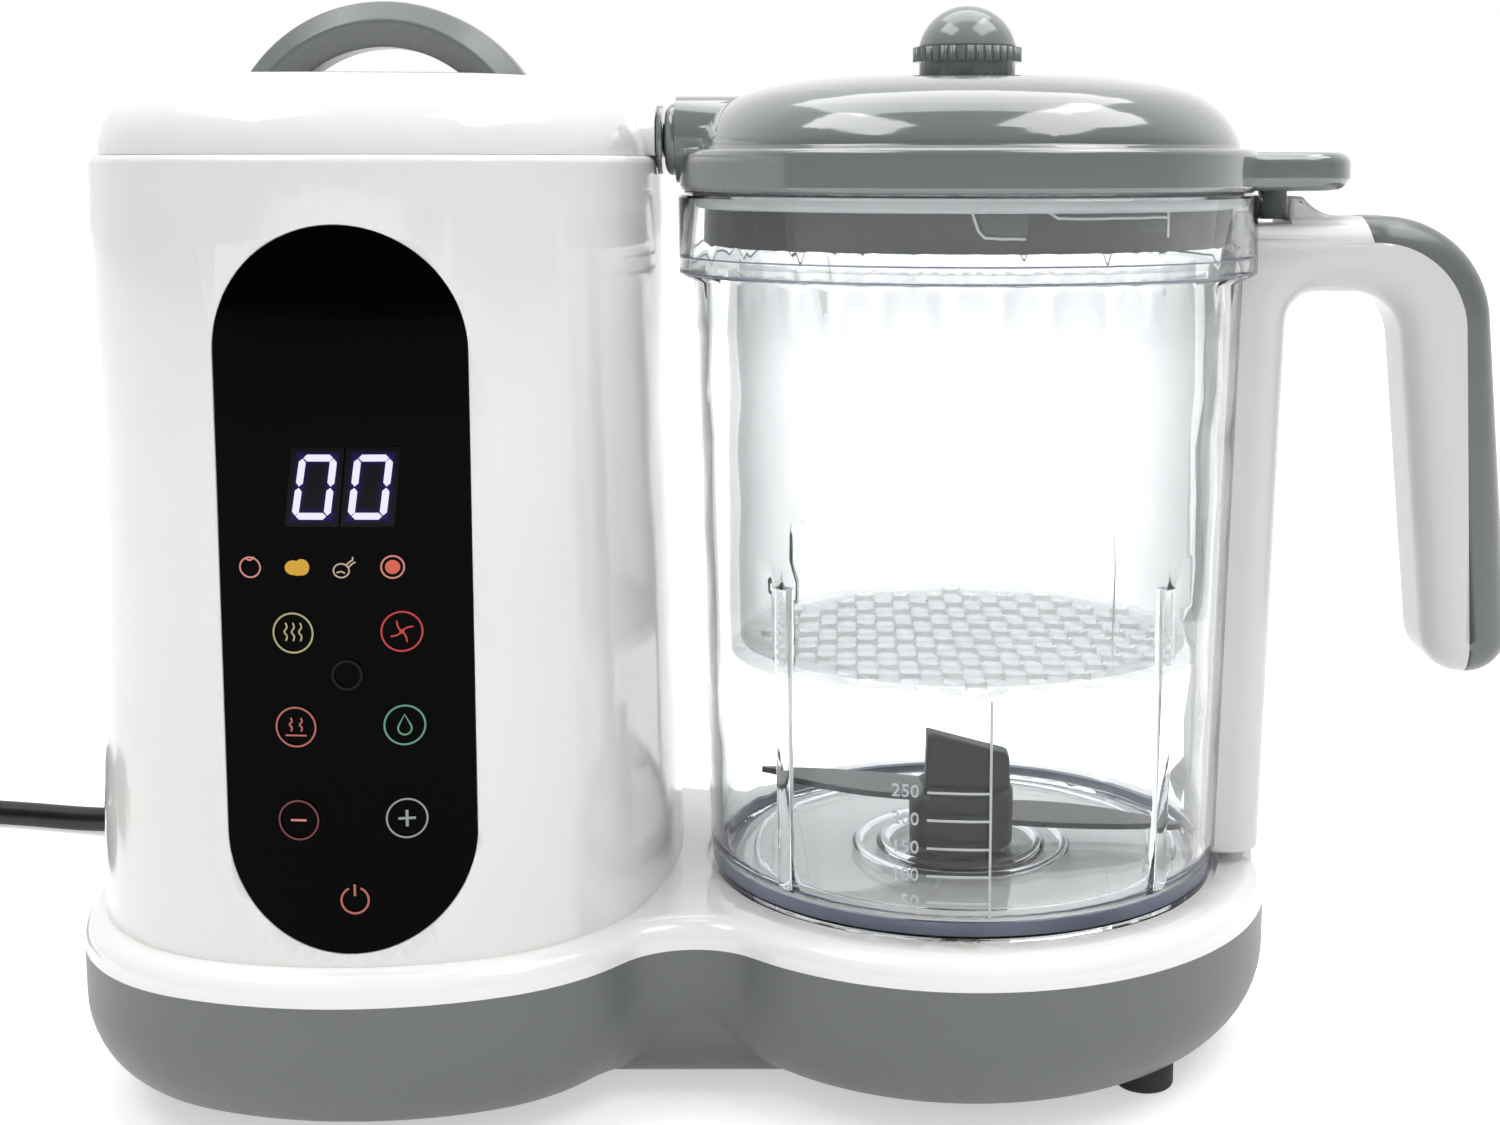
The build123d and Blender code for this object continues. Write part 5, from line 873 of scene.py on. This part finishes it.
def jugScale():
    bm = bmesh.new()
    left = scale["lineX"] - scale["tickLength"]
    upright = [(scale["lineX"], scale["lineLow"] + step * (scale["lineHigh"] - scale["lineLow"]) / 12)
               for step in range(13)]
    ticks = [[(left + scale["tickLength"] * step / 6, height) for step in range(7)]
             for height, number in scale["ticks"]]
    addStrokes(bm, [upright] + ticks, scale["width"])
    for height, number in scale["ticks"]:
        text = bpy.data.curves.new("number", "FONT")
        text.body = number
        text.size = scale["numberSize"] * mm
        text.align_x = "RIGHT"
        text.align_y = "CENTER"
        text.extrude = scale["numberThickness"] * mm
        text.resolution_u = 3
        holder = bpy.data.objects.new("number", text)
        mesh = bpy.data.meshes.new_from_object(holder)
        mesh.transform(Matrix.Translation(((left - scale["numberGap"]) * mm, 0, height * mm))
                       @ Matrix.Rotation(pi / 2, 4, "X"))
        bm.from_mesh(mesh)
        bpy.data.meshes.remove(mesh)
        bpy.data.objects.remove(holder)
        bpy.data.curves.remove(text)
    layOnJug(bm, scale["flatten"])
    body = nodes["jug_vessel"]["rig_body"]
    addPiece("jugScale", finishMesh(bm, "jugScale", 30), body, markFrost)


jugScale()
print("jug scale made")


# the bayonet track in the lid's skirt, which shows through the jug's clear collar
track = {
    "radius": 53.0,
    "edge": 0.55,
    "lines": (((-3.3, 135.9), (-2.2, 133.4), (-1.2, 130.5), (-0.1, 129.4), (2.7, 129.2), (7.1, 129.2)),
              ((9.7, 136.0), (10.1, 135.1), (11.2, 133.7), (12.8, 132.7), (16.8, 132.6), (20.7, 132.6),
               (24.0, 132.6), (28.0, 132.6), (31.0, 132.6), (33.4, 132.6)),
              ((33.6, 136.0), (33.6, 132.6), (33.6, 129.0))),
    "slot": ((-2.0, 135.9), (-1.0, 133.0), (0.0, 130.2), (2.7, 129.7), (7.5, 129.7), (7.5, 135.9)),
    "stop": ((26.8, 132.1), (28.4, 130.4), (30.5, 129.9), (33.2, 129.8), (33.2, 132.1)),
    "shade": 0.08,
    "flatten": 0.8,
    "halfWidth": 36.0,
    "cuts": 48,
}


def layOnSkirt(bm, flatten):
    for vert in bm.verts:
        x = vert.co.x / mm
        vert.co.y = vert.co.y * flatten - sqrt(track["radius"] ** 2 - x ** 2) * mm
        vert.co.x += jugX
        vert.co.z += deckTop


def bayonetTrack():
    body = nodes["lid_shell"]["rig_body"]
    # painted highlight: light grey strokes along the track's edges
    lines = bmesh.new()
    addStrokes(lines, track["lines"], track["edge"])
    layOnSkirt(lines, track["flatten"])
    addPiece("trackEdges", finishMesh(lines, "trackEdges", 40), body, trackPaintedHighlight)
    # painted shade: dark plates on the skirt where the track's hollows are
    hollows = bmesh.new()
    for outline in (track["slot"], track["stop"]):
        face = hollows.faces.new([hollows.verts.new((x * mm, 0, z * mm)) for x, z in outline])
        raised = bmesh.ops.extrude_face_region(hollows, geom=[face])
        for item in raised["geom"]:
            if isinstance(item, bmesh.types.BMVert):
                item.co.y -= track["shade"] * mm
    cutUpright(hollows, track["halfWidth"] * mm, track["cuts"], 0)
    layOnSkirt(hollows, 1.0)
    addPiece("trackHollows", finishMesh(hollows, "trackHollows", 40), body, trackPaintedShade)


# painted light and shade: a light grey edge stands for one that catches the light, and a dark hollow for one
# in its own shade
trackPaintedHighlight = mouldedPlastic("polished grey polypropylene edge", ("#c9cdcd", "#c2c6c6"), 1.49, (0.12, 0.18),
                           (4.0, 0.01))
trackPaintedShade = mouldedPlastic("shaded grey polypropylene", ("#4c5050", "#484c4c"), 1.49, (0.3, 0.4),
                            (4.0, 0.01))
bayonetTrack()
print("bayonet track made")


# moulded rings on the jug's floor, and painted shade: the blue-grey band of its thick foot and the dark lines
# of its collar
jugFloor = {
    "rings": ((16.2, 0.9), (21.6, 0.7), (42.0, 0.5)),  # radius and height
    "ringShares": (1.6, 0.7),  # half widths at foot and top, as shares of the height
    "floorZ": 1.5,
    "above": 0.02,
    "footRadius": 50.6,
    "footWidth": 1.3,
    "footLow": 0.35,
    "footHigh": 2.9,
    "collarLines": ((57.3, 121.4), (57.0, 124.4)),  # radius and height
    "lineHalf": (0.2, 0.16),
    "steps": 96,
}


def spunRing(bm, profile):
    # a closed profile of radius and height, turned once about the jug's axis
    verts = [bm.verts.new((radius * mm + jugX, 0, deckTop + height * mm)) for radius, height in profile]
    edges = [bm.edges.new((first, second)) for first, second in zip(verts, verts[1:] + verts[:1])]
    bmesh.ops.spin(bm, geom=verts + edges, cent=(jugX, 0, 0), axis=(0, 0, 1), angle=2 * pi,
                   steps=jugFloor["steps"], use_merge=True)


def boxProfile(inner, outer, low, high):
    return [(inner, low), (outer, low), (outer, high), (inner, high)]


def jugRing(name, profiles, material):
    bm = bmesh.new()
    for profile in profiles:
        spunRing(bm, profile)
    addPiece(name, finishMesh(bm, name, 50), nodes["jug_vessel"]["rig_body"], material)


def floorRings():
    footShare, topShare = jugFloor["ringShares"]
    low = jugFloor["floorZ"]
    foot = low + jugFloor["above"]
    jugRing("jugFloorRings", [[(radius - high * footShare, foot), (radius - high * topShare, low + high),
                               (radius + high * topShare, low + high), (radius + high * footShare, foot)]
                              for radius, high in jugFloor["rings"]], jugClear)
    # painted shade: an opaque blue-grey band stands in for the dark depth seen in the thick clear foot
    outer = jugFloor["footRadius"]
    jugRing("jugFootBand", [boxProfile(outer - jugFloor["footWidth"], outer, jugFloor["footLow"],
                                       jugFloor["footHigh"])], footPaintedShade)
    # painted shade: thin dark rings stand in for the dark lines along the collar's clear edges
    across, up = jugFloor["lineHalf"]
    jugRing("jugCollarLines", [boxProfile(radius - across, radius + across, height - up, height + up)
                               for radius, height in jugFloor["collarLines"]], edgePaintedShade)


floorRings()
print("jug floor rings made")


# lamps, white surroundings and the floor
lamps = {
    "leftStrip": {"place": (-0.86, -0.3, 1.52), "size": (1.07, 0.55), "power": 8.5, "mirrored": True},
    "rightStrip": {"place": (0.8, -0.29, 1.56), "size": (1.4, 0.75), "power": 14.0, "mirrored": True},
    "topSoft": {"place": (0.0, 0.5, 1.9), "size": (2.0, 1.4), "power": 22.0, "mirrored": True},
    "frontFill": {"place": (0.1, -1.7, 0.9), "size": (1.6, 1.2), "power": 4.5, "mirrored": False},
}
aimPoint = Vector((-0.02, 0.0, 0.09))
for name, lamp in lamps.items():
    data = bpy.data.lights.new(name, "AREA")
    data.shape = "RECTANGLE"
    data.size, data.size_y = lamp["size"]
    data.energy = lamp["power"]
    lampObject = bpy.data.objects.new(name, data)
    lampObject.location = lamp["place"]
    lampObject.rotation_euler = (aimPoint - lampObject.location).to_track_quat("-Z", "Y").to_euler()
    lampObject.visible_glossy = lamp["mirrored"]  # the fill leaves no patch in the clear walls
    bpy.context.scene.collection.objects.link(lampObject)


def seenRay(tree):
    # 1 for camera, mirror and see-through rays, which meet plain white; 0 for rays that carry light
    path = addNode(tree, "ShaderNodeLightPath")
    first = addNode(tree, "ShaderNodeMath", {"operation": "MAXIMUM"})
    tree.links.new(path.outputs["Is Camera Ray"], first.inputs[0])
    tree.links.new(path.outputs["Is Glossy Ray"], first.inputs[1])
    second = addNode(tree, "ShaderNodeMath", {"operation": "MAXIMUM"})
    tree.links.new(first.outputs[0], second.inputs[0])
    tree.links.new(path.outputs["Is Transmission Ray"], second.inputs[1])
    return second.outputs[0]


world = bpy.data.worlds.new("whiteSurroundings")
bpy.context.scene.world = world
world.use_nodes = True
worldTree = world.node_tree
background = worldTree.nodes["Background"]
background.inputs["Color"].default_value = (1.0, 1.0, 1.0, 1.0)
surroundings = {"light": 0.36, "mirroredFront": 0.12, "mirroredBack": 1.0, "turn": (-0.25, 0.55)}


def worldStrength(tree):
    # white behind the object; what the object mirrors from the camera's side is the darker room
    direction = addNode(tree, "ShaderNodeTexCoord")
    parts = addNode(tree, "ShaderNodeSeparateXYZ", {}, {"Vector": direction.outputs["Generated"]})
    mirrored = addNode(tree, "ShaderNodeMapRange", {
        "From Min": surroundings["turn"][0], "From Max": surroundings["turn"][1],
        "To Min": surroundings["mirroredFront"], "To Max": surroundings["mirroredBack"]},
        {"Value": parts.outputs["Y"]})
    path = addNode(tree, "ShaderNodeLightPath")
    light = addNode(tree, "ShaderNodeMix", {"data_type": "FLOAT"})
    light.inputs["A"].default_value = surroundings["light"]
    tree.links.new(path.outputs["Is Glossy Ray"], light.inputs["Factor"])
    tree.links.new(mirrored.outputs["Result"], light.inputs["B"])
    seen = addNode(tree, "ShaderNodeMath", {"operation": "MAXIMUM"})
    tree.links.new(path.outputs["Is Camera Ray"], seen.inputs[0])
    tree.links.new(path.outputs["Is Transmission Ray"], seen.inputs[1])
    strength = addNode(tree, "ShaderNodeMix", {"data_type": "FLOAT"})
    strength.inputs["B"].default_value = 1.0
    tree.links.new(seen.outputs[0], strength.inputs["Factor"])
    tree.links.new(light.outputs["Result"], strength.inputs["A"])
    return strength.outputs["Result"]


worldTree.links.new(worldStrength(worldTree), background.inputs["Strength"])


table = {"radius": 6.0, "segments": 64, "glowFrom": 0.3, "glowTo": 1.2, "nearGlow": 0.5, "farGlow": 1.0}


def floorMaterial():
    # matt white table: the eye sees it as bright as the background, with the object's own soft shadow
    material, tree, principled = newMaterial("matt white table", {
        "Base Color": (0.8, 0.8, 0.8, 1.0), "Roughness": 0.9, "Emission Color": (1.0, 1.0, 1.0, 1.0)})
    place = addNode(tree, "ShaderNodeTexCoord")
    reach = addNode(tree, "ShaderNodeVectorMath", {"operation": "LENGTH"},
                    {"Vector": place.outputs["Object"]})
    far = addNode(tree, "ShaderNodeMapRange", {
        "From Min": table["glowFrom"], "From Max": table["glowTo"],
        "To Min": table["nearGlow"], "To Max": table["farGlow"]}, {"Value": reach.outputs["Value"]})
    glow = addNode(tree, "ShaderNodeMath", {"operation": "MULTIPLY"})
    tree.links.new(far.outputs["Result"], glow.inputs[0])
    tree.links.new(seenRay(tree), glow.inputs[1])
    tree.links.new(glow.outputs[0], principled.inputs["Emission Strength"])
    surfaceTexture(tree, principled, 3.0, 0.01)
    return material


floorMesh = bpy.data.meshes.new("floor")
bm = bmesh.new()
bmesh.ops.create_circle(bm, cap_ends=True, segments=table["segments"], radius=table["radius"])
bm.to_mesh(floorMesh)
bm.free()
floorMesh.materials.append(floorMaterial())
floor = bpy.data.objects.new("floor", floorMesh)
bpy.context.scene.collection.objects.link(floor)

bpy.context.scene.view_settings.view_transform = "Standard"

print("scene done")
